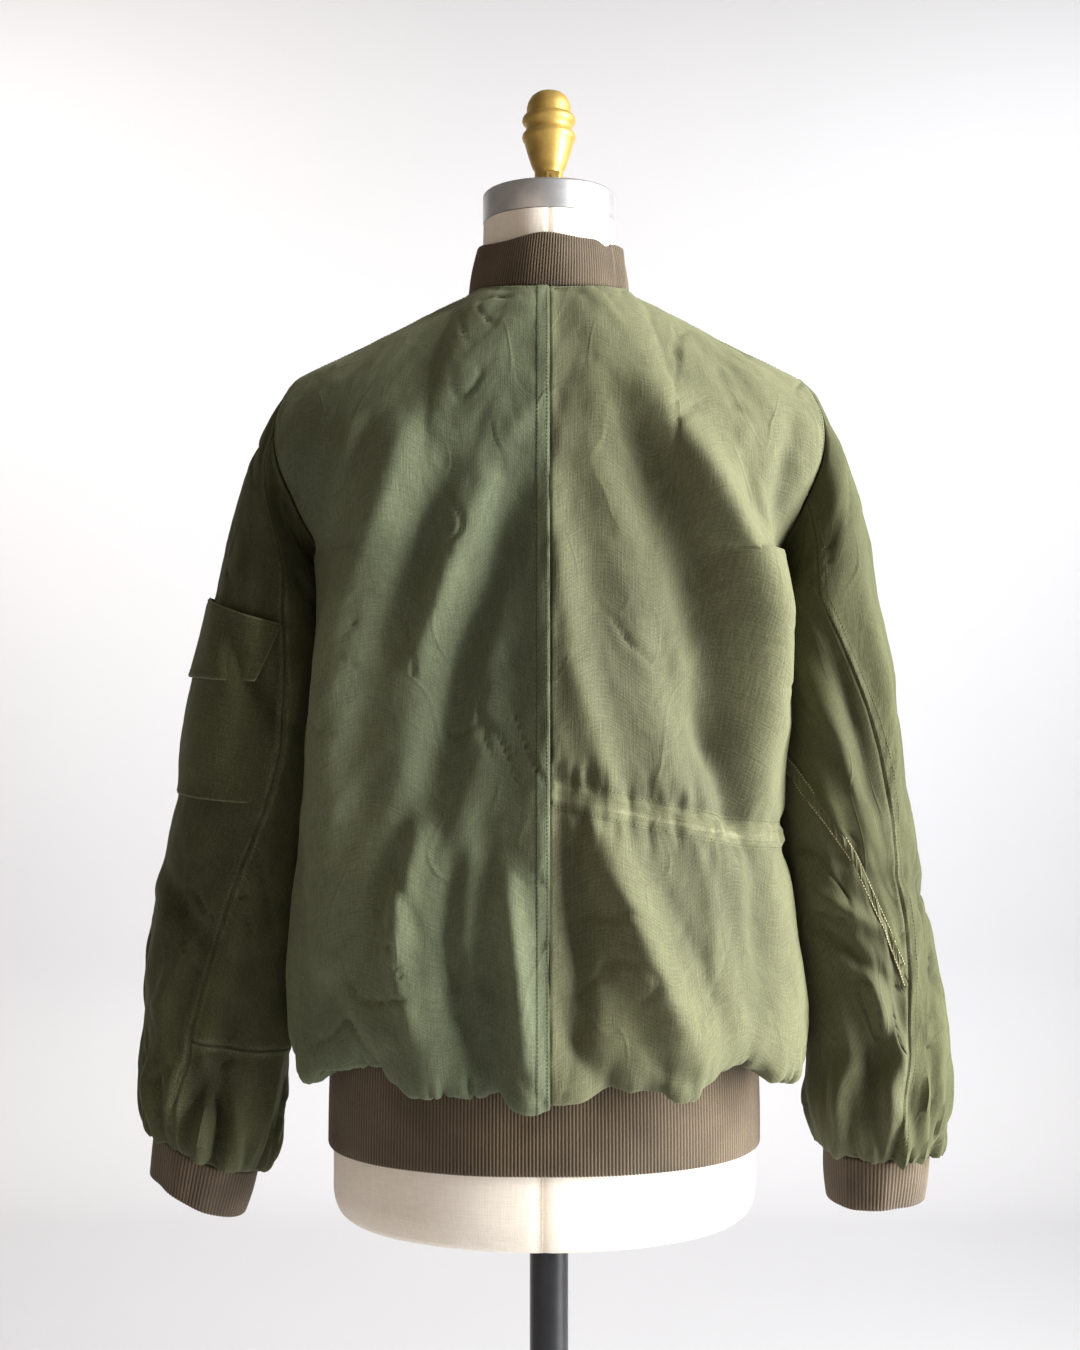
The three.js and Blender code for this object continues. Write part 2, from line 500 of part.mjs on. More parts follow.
// Knit tube or strip between stacked paths: wales raised on the outside over a plain inside.
function knit(paths, pitch, closed, name) {
  const lengthOf = (path) => path.reduce((sum, p, i) => sum + (i ? p.distanceTo(path[i - 1]) : 0), 0);
  const wales = Math.round(lengthOf(paths[0]) / pitch);
  const fine = 2 * wales;
  const coarse = Math.round(wales / 2);
  const centre = new THREE.Box3().setFromPoints(paths.flat()).getCenter(vec(0, 0, 0));
  const positions = [];
  const add = (p, away) => {
    const out = vec(p.x - centre.x, p.y - centre.y, 0).normalize();
    positions.push(p.x + out.x * away, p.y + out.y * away, p.z);
    return positions.length / 3 - 1;
  };
  const ends = closed ? -1 : 0;
  const outer = paths.map((path) => {
    const line = evenly(path, fine).map((p, j) => [p, j % 2 === 0 ? 0 : ribRise]);
    return (closed ? line.slice(0, ends) : line).map(([p, away]) => add(p, away));
  });
  const inner = [paths[0], paths[paths.length - 1]].map((path) => {
    const line = evenly(path, coarse);
    return (closed ? line.slice(0, ends) : line).map((p) => add(p, -ribThickness));
  });
  const index = [];
  const whole = (line) => (closed ? [...line, line[0]] : line);
  const skin = (rows) => {
    for (let i = 0; i < rows.length - 1; i += 1) {
      const low = whole(rows[i]);
      const high = whole(rows[i + 1]);
      for (let j = 0; j < low.length - 1; j += 1) {
        index.push(low[j], low[j + 1], high[j + 1], low[j], high[j + 1], high[j]);
      }
    }
  };
  const flipped = (action) => {
    const from = index.length;
    action();
    for (let i = from; i < index.length; i += 3) [index[i], index[i + 1]] = [index[i + 1], index[i]];
  };
  skin(outer);
  flipped(() => skin(inner));
  flipped(() => stitch(index, whole(outer[0]), whole(inner[0])));
  stitch(index, whole(outer[outer.length - 1]), whole(inner[1]));
  if (!closed) {
    stitch(index, outer.map((line) => line[0]), inner.map((line) => line[0]));
    flipped(() => stitch(index, outer.map((line) => line.at(-1)), inner.map((line) => line.at(-1))));
  }
  return closedMesh(positions, index, name, ribBrown, 0.95, 0);
}

// Level ring with rounded corners, from the centre front round the back to the centre front again.
function ringPath(height, halfWidth, back, front, startDegrees, power, shiftX = 0) {
  const path = [];
  const steps = 120;
  for (let i = 0; i <= steps; i += 1) {
    const angle = radians(180 - startDegrees - ((360 - 2 * startDegrees) * i) / steps);
    const sine = Math.sin(angle);
    const cosine = Math.cos(angle);
    const depth = cosine > 0 ? back : front;
    const x = shiftX * Math.abs(sine) + halfWidth * Math.sign(sine) * Math.abs(sine) ** power;
    path.push(vec(x, depth * Math.sign(cosine) * Math.abs(cosine) ** power, height));
  }
  return path;
}

// Solid of revolution from named radii and heights
function turned(profile, segments, name, colour, roughness, metalness) {
  const points = profile.map(([radius, height]) => new THREE.Vector2(radius, height));
  const geometry = new THREE.LatheGeometry(points, segments);
  geometry.rotateX(Math.PI / 2);
  return named(geometry, name, colour, roughness, metalness);
}

// Joining of overlapping closed geometries
function joined(geometries, name, colour, roughness, metalness) {
  const solids = geometries.map((source) => {
    const bare = source.clone();
    bare.deleteAttribute('normal');
    bare.deleteAttribute('uv');
    const merged = mergeVertices(bare);
    const triVerts = new Uint32Array(merged.index.array);
    const mesh = new wasm.Mesh({ numProp: 3, vertProperties: merged.attributes.position.array, triVerts });
    return new wasm.Manifold(mesh);
  });
  const result = solids.reduce((sum, next) => sum.add(next)).getMesh();
  const geometry = new THREE.BufferGeometry();
  geometry.setAttribute('position', new THREE.BufferAttribute(result.vertProperties, 3));
  geometry.setIndex(new THREE.BufferAttribute(result.triVerts, 1));
  geometry.computeVertexNormals();
  return named(geometry, name, colour, roughness, metalness);
}

// Sleeve ring point; around is 0 outwards, 0.25 at the back seam, 0.5 at the body, 0.75 at the front.
function sleeveRingPoint(side, rings, backColumn, around, down) {
  const value = (name) => read(rings, 'down', name, down);
  const backSeam = value('backSeam');
  const frontSeam = value('frontSeam');
  let degrees = 0;
  if (around <= backColumn) {
    degrees = (backSeam * around) / backColumn;
  } else if (around <= 0.75) {
    degrees = backSeam + ((frontSeam - backSeam) * (around - backColumn)) / (0.75 - backColumn);
  } else {
    degrees = frontSeam + ((360 - frontSeam) * (around - 0.75)) / 0.25;
  }
  const angle = radians(degrees);
  const dx = value('halfWidth') * Math.cos(angle);
  const lift = Math.tan(radians(value('tilt'))) * dx;
  const place = vec(side * (value('x') + dx), value('y') + value('halfDepth') * Math.sin(angle), value('z') + lift);
  return { place, degrees };
}

// Master grid of a sleeve: cap rows that spring from the armhole, then rings down to the cuff seam.
function sleeveGrid(side, rings, folds, backColumn, armhole) {
  const points = [];
  const first = [];
  for (let j = 0; j <= sleeveSteps; j += 1) {
    first.push(sleeveRingPoint(side, rings, backColumn, j / sleeveSteps, 0).place);
  }
  for (let i = 0; i < capSteps; i += 1) {
    const t = i / capSteps;
    points.push(first.map((end, j) => {
      const start = armhole[j % sleeveSteps];
      const turn = (2 * Math.PI * j) / sleeveSteps;
      const outwards = capLeave.out + capLeave.outMore * Math.cos(turn);
      const leave = vec(side * outwards, capLeave.aside * Math.sin(turn), -capLeave.down).normalize();
      const arrive = vec(side * capLeave.arriveOut, 0, -1).normalize();
      const handle = capLeave.handle * start.distanceTo(end);
      const a = start.clone().addScaledVector(leave, handle);
      const b = end.clone().addScaledVector(arrive, -handle);
      return new THREE.CubicBezierCurve3(start, a, b, end).getPoint(t);
    }));
  }
  const { girth, length } = sleeveFlat;
  sleeveDowns.forEach((down, row) => {
    const line = [];
    for (let j = 0; j <= sleeveSteps; j += 1) {
      const { place, degrees } = sleeveRingPoint(side, rings, backColumn, j / sleeveSteps, down);
      const centre = vec(side * read(rings, 'down', 'x', down), read(rings, 'down', 'y', down), place.z);
      const away = place.clone().sub(centre).normalize();
      let height = 0;
      for (const fold of folds) {
        const { around1, down1, around2, down2, width, depth } = fold;
        const px = (degrees / 360) * girth;
        height += foldHeight(px, down * length, (around1 / 360) * girth, down1 * length,
          (around2 / 360) * girth, down2 * length, width, depth);
      }
      const fromEnd = sleeveDowns.length - 1 - row;
      const inGather = fromEnd > 0 && fromEnd < sleeveGather.rows;
      const waver = (j % 2 === 0 ? 1 : -1) * sleeveGather.height * (1 - fromEnd / sleeveGather.rows);
      const gather = inGather ? waver : 0;
      const hold = Math.min(1, down / 0.05) * Math.min(1, (1 - down) / 0.03);
      line.push(place.addScaledVector(away, height * hold + gather));
    }
    points.push(line);
  });
  return points;
}

// Olive cloths and knit
const oliveDark = 0x46523a;
const oliveLight = 0x74784f;
const oliveSleeve = 0x4a5535;
const ribBrown = 0x5f5139;
const linenCream = 0xeee6d8;
const satinBlack = 0x17181a;

const jacket = new THREE.Group();
const quarters = {};
for (const [label, side] of [['left', 1], ['right', -1]]) {
  quarters[`back_${label}`] = { points: bodyQuarter(side, true), sign: -side };
  quarters[`front_${label}`] = { points: bodyQuarter(side, false), sign: side };
}
for (const quarter of Object.values(quarters)) {
  quarter.normals = gridNormals(quarter.points, quarter.sign);
}

// The armhole edge of one side, shoulder to underarm at the back and up again at the front.
function armholeLoop(label, field) {
  const top = bodyLevels.length - 1 + yokeSteps;
  const last = across.length - 1;
  const loop = [];
  for (let j = 0; j < sleeveSteps; j += 1) {
    const back = j <= yokeSteps;
    const row = back ? top - j : top - (sleeveSteps - j);
    loop.push(quarters[`${back ? 'back' : 'front'}_${label}`][field][row][last].clone());
  }
  return loop;
}

const sleeves = {};
const sleeveForms = [
  {
    label: 'left', side: 1, rings: leftSleeveRings, folds: leftSleeveFolds, backColumn: 0.25,
    upperRows: leftUpperRows, lowerRows: leftLowerRows,
  },
  {
    label: 'right', side: -1, rings: rightSleeveRings, folds: rightSleeveFolds, backColumn: 0.375,
    upperRows: rightUpperRows, lowerRows: rightLowerRows,
  },
];
for (const form of sleeveForms) {
  const points = sleeveGrid(form.side, form.rings, form.folds, form.backColumn, armholeLoop(form.label, 'points'));
  const around = points.map((row) => [row[sleeveSteps - 1], ...row, row[1]]);
  const normals = gridNormals(around, -form.side).map((row) => row.slice(1, -1));
  const bodyNormals = armholeLoop(form.label, 'normals');
  normals[0] = normals[0].map((n, j) => n.add(bodyNormals[j % sleeveSteps]).normalize());
  sleeves[form.label] = { ...form, points, normals };
}

// At the armhole the body's wall ends along the same slant as the sleeve's.
for (const label of ['left', 'right']) {
  const top = bodyLevels.length - 1 + yokeSteps;
  const last = across.length - 1;
  for (let j = 0; j < sleeveSteps; j += 1) {
    const mitre = sleeves[label].normals[0][j];
    if (j <= yokeSteps) quarters[`back_${label}`].normals[top - j][last] = mitre.clone();
    if (j >= yokeSteps || j === 0) {
      quarters[`front_${label}`].normals[top - ((sleeveSteps - j) % sleeveSteps)][last] = mitre.clone();
    }
  }
}

// Where two body pieces meet, their walls end along one shared slant.
function shareEdge(a, b, pairs) {
  for (const [i, j, k, l] of pairs) {
    const common = a.normals[i][j].clone().add(b.normals[k][l]).normalize();
    a.normals[i][j] = common;
    b.normals[k][l] = common.clone();
  }
}
const allRows = quarters.back_left.points.map((_, i) => i);
const sideRows = allRows.filter((i) => i < bodyLevels.length - 1);
const shoulderColumns = across.map((_, j) => j).slice(4, -1);
const edgeColumn = across.length - 1;
const topRow = allRows.length - 1;
shareEdge(quarters.back_left, quarters.back_right, allRows.map((i) => [i, 0, i, 0]));
for (const label of ['left', 'right']) {
  const back = quarters[`back_${label}`];
  const front = quarters[`front_${label}`];
  shareEdge(back, front, sideRows.map((i) => [i, edgeColumn, i, edgeColumn]));
  shareEdge(back, front, shoulderColumns.map((j) => [topRow, j, topRow, j]));
}

// Body pieces; a front piece starts beside the zip.
const allColumns = across.map((_, j) => j);
const zipColumn = (quarter, row) => zipHalfWidth / Math.abs(quarter.points[row][1].x);
for (const [name, quarter] of Object.entries(quarters)) {
  const besideZip = (row, column) => [row, column === 0 ? zipColumn(quarter, row) : column];
  const place = name.startsWith('front') ? besideZip : undefined;
  const colour = name.endsWith('left') ? oliveDark : oliveLight;
  jacket.add(panel(quarter, allRows, allColumns, `body_${name}`, colour, { place }));
}

// Flat-felled strip beside the centre back seam
const strip = { from: 0.02, to: 0.285, firstRow: 4, thickness: 0.8 };
const stripRows = allRows.slice(strip.firstRow);
jacket.add(panel(quarters.back_left, stripRows, [strip.from, strip.to], 'centre_back_fell', oliveDark,
  { lift: layerGap + strip.thickness, thickness: strip.thickness }));

// Drawcord casing across the right back, sloping down towards the side
const casing = { top: 8.8, bottom: 8.2, slope: 1.02, thickness: 1.2 };
const casingColumns = [0.15, ...allColumns.slice(1, 12)];
const casingPlace = (row, column) => {
  const height = row === 0 ? casing.bottom : casing.top;
  return [height - (casing.slope * column) / 12, column];
};
jacket.add(panel(quarters.back_right, [0, 1], casingColumns, 'waist_casing', oliveLight,
  { lift: layerGap + casing.thickness, thickness: casing.thickness, place: casingPlace }));

// Broken row of a sleeve grid for a place down the sleeve
function sleeveRow(down) {
  let i = 0;
  while (i < sleeveDowns.length - 2 && sleeveDowns[i + 1] < down) i += 1;
  return capSteps + i + (down - sleeveDowns[i]) / (sleeveDowns[i + 1] - sleeveDowns[i]);
}

// Sleeve pieces: outer, upper under-piece and lower under-piece
const frontColumn = 18;
for (const sleeve of Object.values(sleeves)) {
  const { label, backColumn, upperRows, lowerRows } = sleeve;
  const back = backColumn * sleeveSteps;
  const rows = sleeve.points.map((_, i) => i);
  const span = (from, to) => Array.from({ length: to - from + 1 }, (_, k) => from + k);
  const outerColumns = span(frontColumn, sleeveSteps + back);
  const wrap = (row, column) => [row, column >= sleeveSteps ? column - sleeveSteps : column];
  jacket.add(panel(sleeve, rows, outerColumns, `sleeve_${label}_outer`, oliveSleeve,
    { place: wrap, startGap: armholeGap }));
  const underColumns = span(back, frontColumn);
  const mixed = (lists) => (k, column) => {
    const share = read(crossSeamShare, 'around', 'share', column / sleeveSteps);
    return [sleeveRow(lists.back[k] + (lists.front[k] - lists.back[k]) * share), column];
  };
  const upper = (row, column) => (row < capSteps ? [row, column] : mixed(upperRows)(row - capSteps, column));
  const upperSteps = span(0, capSteps + upperRows.back.length - 1);
  jacket.add(panel(sleeve, upperSteps, underColumns, `sleeve_${label}_under`, oliveSleeve,
    { place: upper, startGap: armholeGap }));
  const lowerSteps = span(0, lowerRows.back.length - 1);
  jacket.add(panel(sleeve, lowerSteps, underColumns, `sleeve_${label}_lower`, oliveSleeve,
    { place: mixed(lowerRows) }));
}

// Flat-felled seam that crosses the right sleeve above its lower under-piece
const fell = { halfWidth: 0.012, thickness: 0.9 };
const fellColumns = [9.2, 10, 11, 12, 13, 14, 15, 16];
const fellPlace = (row, column) => {
  const share = read(crossSeamShare, 'around', 'share', column / sleeveSteps);
  const start = rightUpperRows.back.at(-1);
  const down = start + (rightUpperRows.front.at(-1) - start) * share;
  return [sleeveRow(down + (row === 0 ? -fell.halfWidth : fell.halfWidth)), column];
};
jacket.add(panel(sleeves.right, [0, 1], fellColumns, 'sleeve_right_fell', oliveLight,
  { lift: layerGap + fell.thickness, thickness: fell.thickness, place: fellPlace }));

// Patch pocket and flap on the left sleeve, round its outer and back faces
const pocket = { top: 0.03, bottom: 0.36, thickness: 1.4 };
const flap = { top: 0.0, bottom: 0.145, inset: 1.1, slant: 0.7, thickness: 1.8 };
const pocketColumns = [-2, -1, 0, 1, 2, 3, 4, 5, 5.8];
const wrapBelow = (row, column) => [row, column < 0 ? column + sleeveSteps : column];
const slanted = (column, i) => (i === 0 ? flap.slant * Math.max(0, (column - 1) / 5) : 0);
const pocketPlace = (row, column, i) => wrapBelow(row + slanted(column, i), column);
const pocketRows = [pocket.top, 0.145, 0.25, pocket.bottom].map(sleeveRow);
jacket.add(panel(sleeves.left, pocketRows, pocketColumns, 'sleeve_pocket', oliveSleeve,
  { lift: pocketGap + pocket.thickness, thickness: pocket.thickness, place: pocketPlace }));
const flapPlace = (row, column, i) => {
  const narrowed = column > 4 ? column - (i * flap.inset * (column - 4)) / 3 : column;
  return wrapBelow(row + slanted(column, i), narrowed);
};
const flapRows = [flap.top, 0.11, flap.bottom].map(sleeveRow);
const flapLift = pocketGap + pocket.thickness + 2 * layerGap + flap.thickness;
jacket.add(panel(sleeves.left, flapRows, pocketColumns, 'sleeve_pocket_flap', oliveSleeve,
  { lift: flapLift, thickness: flap.thickness, place: flapPlace }));

// Collar standing on the neck edge, open at the centre front
const neckColumns = [1, 2, 3, 4];
const topOf = (name, column) => between(quarters[name].points, topRow, column);
const zipTop = zipColumn(quarters.front_left, topRow);
const neckEdge = [
  topOf('front_left', zipTop),
  ...neckColumns.map((j) => topOf('front_left', j)),
  ...[3, 2, 1, 0].map((j) => topOf('back_left', j)),
  ...neckColumns.map((j) => topOf('back_right', j)),
  ...[3, 2, 1].map((j) => topOf('front_right', j)),
  topOf('front_right', zipTop),
];
const collar = { lift: 0.6, halfWidth: 60, back: 62, front: 66, height: 1546, frontFall: 21, gape: 8, shift: -1 };
const collarTop = ringPath(collar.height, collar.halfWidth, collar.back, collar.front, collar.gape, 1, collar.shift);
for (const p of collarTop) p.z -= collar.frontFall * Math.max(0, -p.y / collar.front) ** 2;
const collarBottom = neckEdge.map((p) => p.clone().add(vec(0, 0, collar.lift)));
const collarLow = evenly(collarBottom, 90);
const collarHigh = evenly(collarTop, 90);
const collarRow = (share, pinch) => collarLow.map((p, i) => {
  const mid = p.clone().lerp(collarHigh[i], share);
  return vec(mid.x * pinch, mid.y * pinch, mid.z);
});
jacket.add(knit([collarBottom, collarRow(0.4, 0.985), collarTop], collarRibPitch, false, 'collar'));

// Waistband, open at the centre front beside the zip
const band = { gape: 1.8, power: 0.92 };
const bandRings = [
  { z: bandBottom, halfWidth: 176.6, back: 118.5, front: 117.5 },
  { z: 856, halfWidth: 177.4, back: 119, front: 118 },
  { z: bandTop, halfWidth: 174.5, back: 117.6, front: 116.6 },
];
const bandPaths = bandRings.map((ring) => ringPath(ring.z, ring.halfWidth, ring.back, ring.front, band.gape,
  band.power, hipShift));
jacket.add(knit(bandPaths, ribPitch, false, 'waistband'));

// Cuffs, hanging from the sleeve's end ring
const cuffForms = {
  left: { x: 289, z: 775, halfWidth: 39, halfDepth: 37, tilt: 23, side: 1 },
  right: { x: 269, z: 771, halfWidth: 40, halfDepth: 37, tilt: 0, side: -1 },
};
const cuffDrop = 0.75;
for (const [label, cuff] of Object.entries(cuffForms)) {
  const sleeve = sleeves[label];
  const top = sleeve.points.at(-1).map((p) => p.clone().add(vec(0, 0, -cuffDrop)));
  const bottom = top.map((_, j) => {
    const angle = radians(sleeveRingPoint(cuff.side, sleeve.rings, sleeve.backColumn, j / sleeveSteps, 1).degrees);
    const dx = cuff.halfWidth * Math.cos(angle);
    const lift = Math.tan(radians(cuff.tilt)) * dx;
    return vec(cuff.side * (cuff.x + dx), cuff.halfDepth * Math.sin(angle), cuff.z + lift);
  });
  jacket.add(knit([bottom, top], ribPitch, true, `cuff_${label}`));
}

// Zip tapes with their tooth rows, from the band's lower edge to the neck seam
const tape = { inner: 0.3, outer: 6.6, front: 0.6, back: 1.8 };
for (const [label, side] of [['left', 1], ['right', -1]]) {
  const front = quarters[`front_${label}`];
  const line = bandRings.map((ring) => ({ p: vec(0, -ring.front, ring.z), n: vec(0, -1, 0) }));
  for (const i of allRows.slice(1)) line.push({ p: front.points[i][0], n: front.normals[i][0] });
  const face = (lift) => line.map(({ p, n }) => [tape.inner, tape.outer].map((x) => {
    const flat = vec(0, n.y, n.z).normalize();
    return vec(side * x, p.y + flat.y * lift, p.z + flat.z * lift);
  }));
  jacket.add(wall(face(tape.front), face(-tape.back), `zip_tape_${label}`, ribBrown, 0.6));
}

// Zip slider with two lugs, and the pull tab that swings between them
const sliderPlace = { row: 21, width: 9.6, height: 12, thickness: 2.4, lift: 1.0 };
const lug = { inner: 3.3, thickness: 1.1, height: 4.2, rise: 2.6, up: 2 };
const tab = { width: 5.6, length: 24, thickness: 1.2, hole: 1.4, head: 0.8 };
const zipPoint = quarters.front_left.points[sliderPlace.row][0];
const zipNormal = quarters.front_left.normals[sliderPlace.row][0];
const tiltBack = Math.atan2(zipNormal.z, -zipNormal.y);
const zipFrame = new THREE.Group();
zipFrame.position.set(0, zipPoint.y, zipPoint.z);
zipFrame.rotation.x = -tiltBack;
const lugBoxes = [-1, 1].map((sign) => {
  const box = new THREE.BoxGeometry(lug.thickness, lug.rise + 1, lug.height);
  const out = -(sliderPlace.lift + sliderPlace.thickness + lug.rise / 2 - 0.5);
  return box.translate(sign * (lug.inner + lug.thickness / 2), out, lug.up);
});
const plateOut = -(sliderPlace.lift + sliderPlace.thickness / 2);
const plate = new THREE.BoxGeometry(sliderPlace.width, sliderPlace.thickness, sliderPlace.height)
  .translate(0, plateOut, 0);
zipFrame.add(joined([plate, ...lugBoxes], 'zip_slider', 0x8a7f5a, 0.4, 0.9));
const tabShape = new THREE.Shape();
tabShape.moveTo(-tab.width / 2, tab.head);
tabShape.lineTo(tab.width / 2, tab.head);
tabShape.lineTo(tab.width / 2, -tab.length);
tabShape.absarc(0, -tab.length, tab.width / 2, 0, Math.PI, true);
tabShape.closePath();
const tabHole = new THREE.Path();
tabHole.absarc(0, -tab.length, tab.hole, 0, 2 * Math.PI, false);
tabShape.holes.push(tabHole);
const tabGeometry = new THREE.ExtrudeGeometry(tabShape, { depth: tab.thickness, bevelEnabled: false, curveSegments: 8 });
tabGeometry.translate(0, 0, -tab.thickness / 2);
tabGeometry.rotateX(Math.PI / 2);
const tabMesh = named(tabGeometry, 'zip_pull_tab', 0x8a7f5a, 0.4, 0.9);
const tabOut = sliderPlace.lift + sliderPlace.thickness + 1.5;
tabMesh.position.set(0, -tabOut, 0);
zipFrame.add(tabMesh);
jacket.add(zipFrame);

// Dress form: a smooth closed bust from the hips to the neck
const formSegments = 28;
const formPositions = [];
const formIndex = [];
for (const ring of formRings) {
  for (let j = 0; j < formSegments; j += 1) {
    const angle = (2 * Math.PI * j) / formSegments;
    formPositions.push(ring.shift + ring.halfWidth * Math.cos(angle), ring.halfDepth * Math.sin(angle), ring.z);
  }
}
for (let i = 0; i < formRings.length - 1; i += 1) {
  for (let j = 0; j < formSegments; j += 1) {
    const a = i * formSegments + j;
    const b = i * formSegments + ((j + 1) % formSegments);
    formIndex.push(a, b, b + formSegments, a, b + formSegments, a + formSegments);
  }
}
const lastRing = (formRings.length - 1) * formSegments;
for (let j = 1; j < formSegments - 1; j += 1) {
  formIndex.push(0, j + 1, j, lastRing, lastRing + j, lastRing + j + 1);
}
jacket.add(closedMesh(formPositions, formIndex, 'form_torso', linenCream, 0.9, 0));

// Neck cap, finial, pole and base
jacket.add(turned([[0, capBottom], [capRadius - 1, capBottom], [capRadius, capBottom + 1], [capRadius, capTop - 1.5],
  [capRadius - 1.5, capTop], [0, capTop]], 32, 'neck_cap', 0xb9babc, 0.35, 1));
const finialProfile = [[0, 1595.3], [13.5, 1595.3], [13.5, 1598], [12, 1600], [11.8, 1612], [12.4, 1617],
  [14, 1627], [17, 1635], [20, 1640], [21.9, 1644.7], [20, 1648], [18.5, 1650.5], [20.5, 1653.5], [21.9, 1658],
  [19.5, 1661.5], [18.4, 1663.5], [17.6, 1669], [14, 1676], [8, 1680.2], [0, 1681]];
jacket.add(turned(finialProfile, 20, 'finial', 0xb8953a, 0.45, 0.85));
const hub = { radius: 32, top: 44 };
jacket.add(turned([[0, hub.top + seamGap], [poleRadius, hub.top + seamGap], [poleRadius, formBottom - seamGap],
  [0, formBottom - seamGap]], 28, 'pole', satinBlack, 0.4, 0.6));
jacket.add(turned([[0, 0], [baseRadius, 0], [baseRadius, baseThickness - 3], [baseRadius - 3, baseThickness],
  [hub.radius, baseThickness], [hub.radius - 6, hub.top], [0, hub.top]], 36, 'base', satinBlack, 0.45, 0.5));

export default jacket;
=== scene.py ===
"""Looks of a patchwork bomber jacket with a rib knit collar, waistband and cuffs, on a limbless dress form.

Lengths are millimetres until a mesh is made, and metres in Blender. The frame is the CAD model's:
+Z up, the origin under the stand, the jacket's front towards -Y and the wearer's left towards +X.
"""
import logging
import math
from dataclasses import dataclass, field
from enum import Enum
from typing import Callable, Sequence

import bmesh
import bpy
import numpy as np
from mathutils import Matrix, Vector


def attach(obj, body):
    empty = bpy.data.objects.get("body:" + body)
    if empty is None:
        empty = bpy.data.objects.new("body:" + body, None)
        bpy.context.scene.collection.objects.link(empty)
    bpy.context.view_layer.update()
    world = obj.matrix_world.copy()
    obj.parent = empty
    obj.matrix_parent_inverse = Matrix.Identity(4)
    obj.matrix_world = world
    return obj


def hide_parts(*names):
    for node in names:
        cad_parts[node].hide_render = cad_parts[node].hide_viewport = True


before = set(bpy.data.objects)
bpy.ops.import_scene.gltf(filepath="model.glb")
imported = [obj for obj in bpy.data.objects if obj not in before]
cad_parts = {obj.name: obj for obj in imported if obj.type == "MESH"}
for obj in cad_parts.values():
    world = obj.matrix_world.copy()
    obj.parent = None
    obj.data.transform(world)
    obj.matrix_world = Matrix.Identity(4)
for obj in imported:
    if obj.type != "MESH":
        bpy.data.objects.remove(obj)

Array = np.ndarray
METRE = 0.001
log = logging.getLogger("jacket")


# Shared arithmetic

def read_table(rows: Sequence[Sequence[float]], column: int, at: Array) -> Array:
    """Smooth reading of a table by cubic pieces through its rows.

    Args:
        rows: rows whose first number is the key, in rising order.
        column: which number of each row is read.
        at: the keys at which it is read.

    Returns:
        The column's values there.
    """
    data = np.asarray(rows, float)
    keys, values = data[:, 0], data[:, column]
    last = len(keys) - 1
    before, after = np.maximum(np.arange(last + 1) - 1, 0), np.minimum(np.arange(last + 1) + 1, last)
    slope = (values[after] - values[before]) / (keys[after] - keys[before])
    at = np.asarray(at, float)
    i = np.clip(np.searchsorted(keys[1:], at, side="left"), 0, last - 1)
    span = keys[i + 1] - keys[i]
    t = np.clip((at - keys[i]) / span, 0, 1)
    curve = (1 + 2 * t) * (1 - t) ** 2 * values[i] + t * t * (3 - 2 * t) * values[i + 1]
    return curve + span * (t * (1 - t) ** 2 * slope[i] - t * t * (1 - t) * slope[i + 1])


def bell(distance: Array, width: float) -> Array:
    """Bell curve, 1 at no distance."""
    return np.exp(-((distance / width) ** 2))


def ramp(start: float, end: float, at: Array) -> Array:
    """Smooth step from 0 at start to 1 at end."""
    t = np.clip((at - start) / (end - start), 0, 1)
    return t * t * (3 - 2 * t)


def wander(u: Array, v: Array, seed: int) -> Array:
    """Smooth seeded unevenness.

    Args:
        u: first coordinate, counted in cells.
        v: second coordinate, counted in cells.
        seed: which pattern.

    Returns:
        Values from -1 to 1.
    """
    lattice = np.random.default_rng(seed).uniform(-1, 1, (97, 97))
    u, v = np.broadcast_arrays(np.asarray(u, float), np.asarray(v, float))
    iu, iv = np.floor(u).astype(int), np.floor(v).astype(int)
    fu, fv = u - iu, v - iv
    fu = fu ** 3 * (fu * (fu * 6 - 15) + 10)
    fv = fv ** 3 * (fv * (fv * 6 - 15) + 10)
    a, b = lattice[iu % 97, iv % 97], lattice[(iu + 1) % 97, iv % 97]
    c, d = lattice[iu % 97, (iv + 1) % 97], lattice[(iu + 1) % 97, (iv + 1) % 97]
    return (a * (1 - fu) + b * fu) * (1 - fv) + (c * (1 - fu) + d * fu) * fv


def unit(vectors: Array) -> Array:
    """Vectors of length 1."""
    return vectors / np.maximum(np.linalg.norm(vectors, axis=-1, keepdims=True), 1e-9)


def seam_steps(length: float, pitch: float) -> Array:
    """Places from 0 to 1 along a length, closer at both ends so that a seam's groove shows.

    Args:
        length: length in millimetres.
        pitch: distance between places away from the ends.

    Returns:
        The places, rising.
    """
    near = np.array([0.0, 0.8, 1.7, 2.8, 4.4])
    count = max(2, round((length - 2 * near[-1]) / pitch))
    middle = np.linspace(near[-1], length - near[-1], count + 1)
    return np.concatenate([near[:-1], middle, (length - near[:-1])[::-1]]) / length


def run_of(line: Array) -> Array:
    """Length along a line at each of its points."""
    return np.concatenate([[0], np.cumsum(np.linalg.norm(np.diff(line, axis=0), axis=1))])


def even_keys(keys: Array, line: Array) -> Callable[[Array], Array]:
    """Turns shares of a line's length into keys.

    Args:
        keys: keys of the line's points.
        line: the points.

    Returns:
        A function from shares (0 to 1) to keys.
    """
    run = run_of(line)
    return lambda share: np.interp(np.asarray(share) * run[-1], run, keys)


def resampled(line: Array, count: int) -> Array:
    """A line's points spread evenly.

    Args:
        line: points in order.
        count: how many points come back.

    Returns:
        Points at even distances along the line.
    """
    run = run_of(line)
    at = np.linspace(0, run[-1], count)
    return np.stack([np.interp(at, run, line[:, k]) for k in range(3)], axis=1)


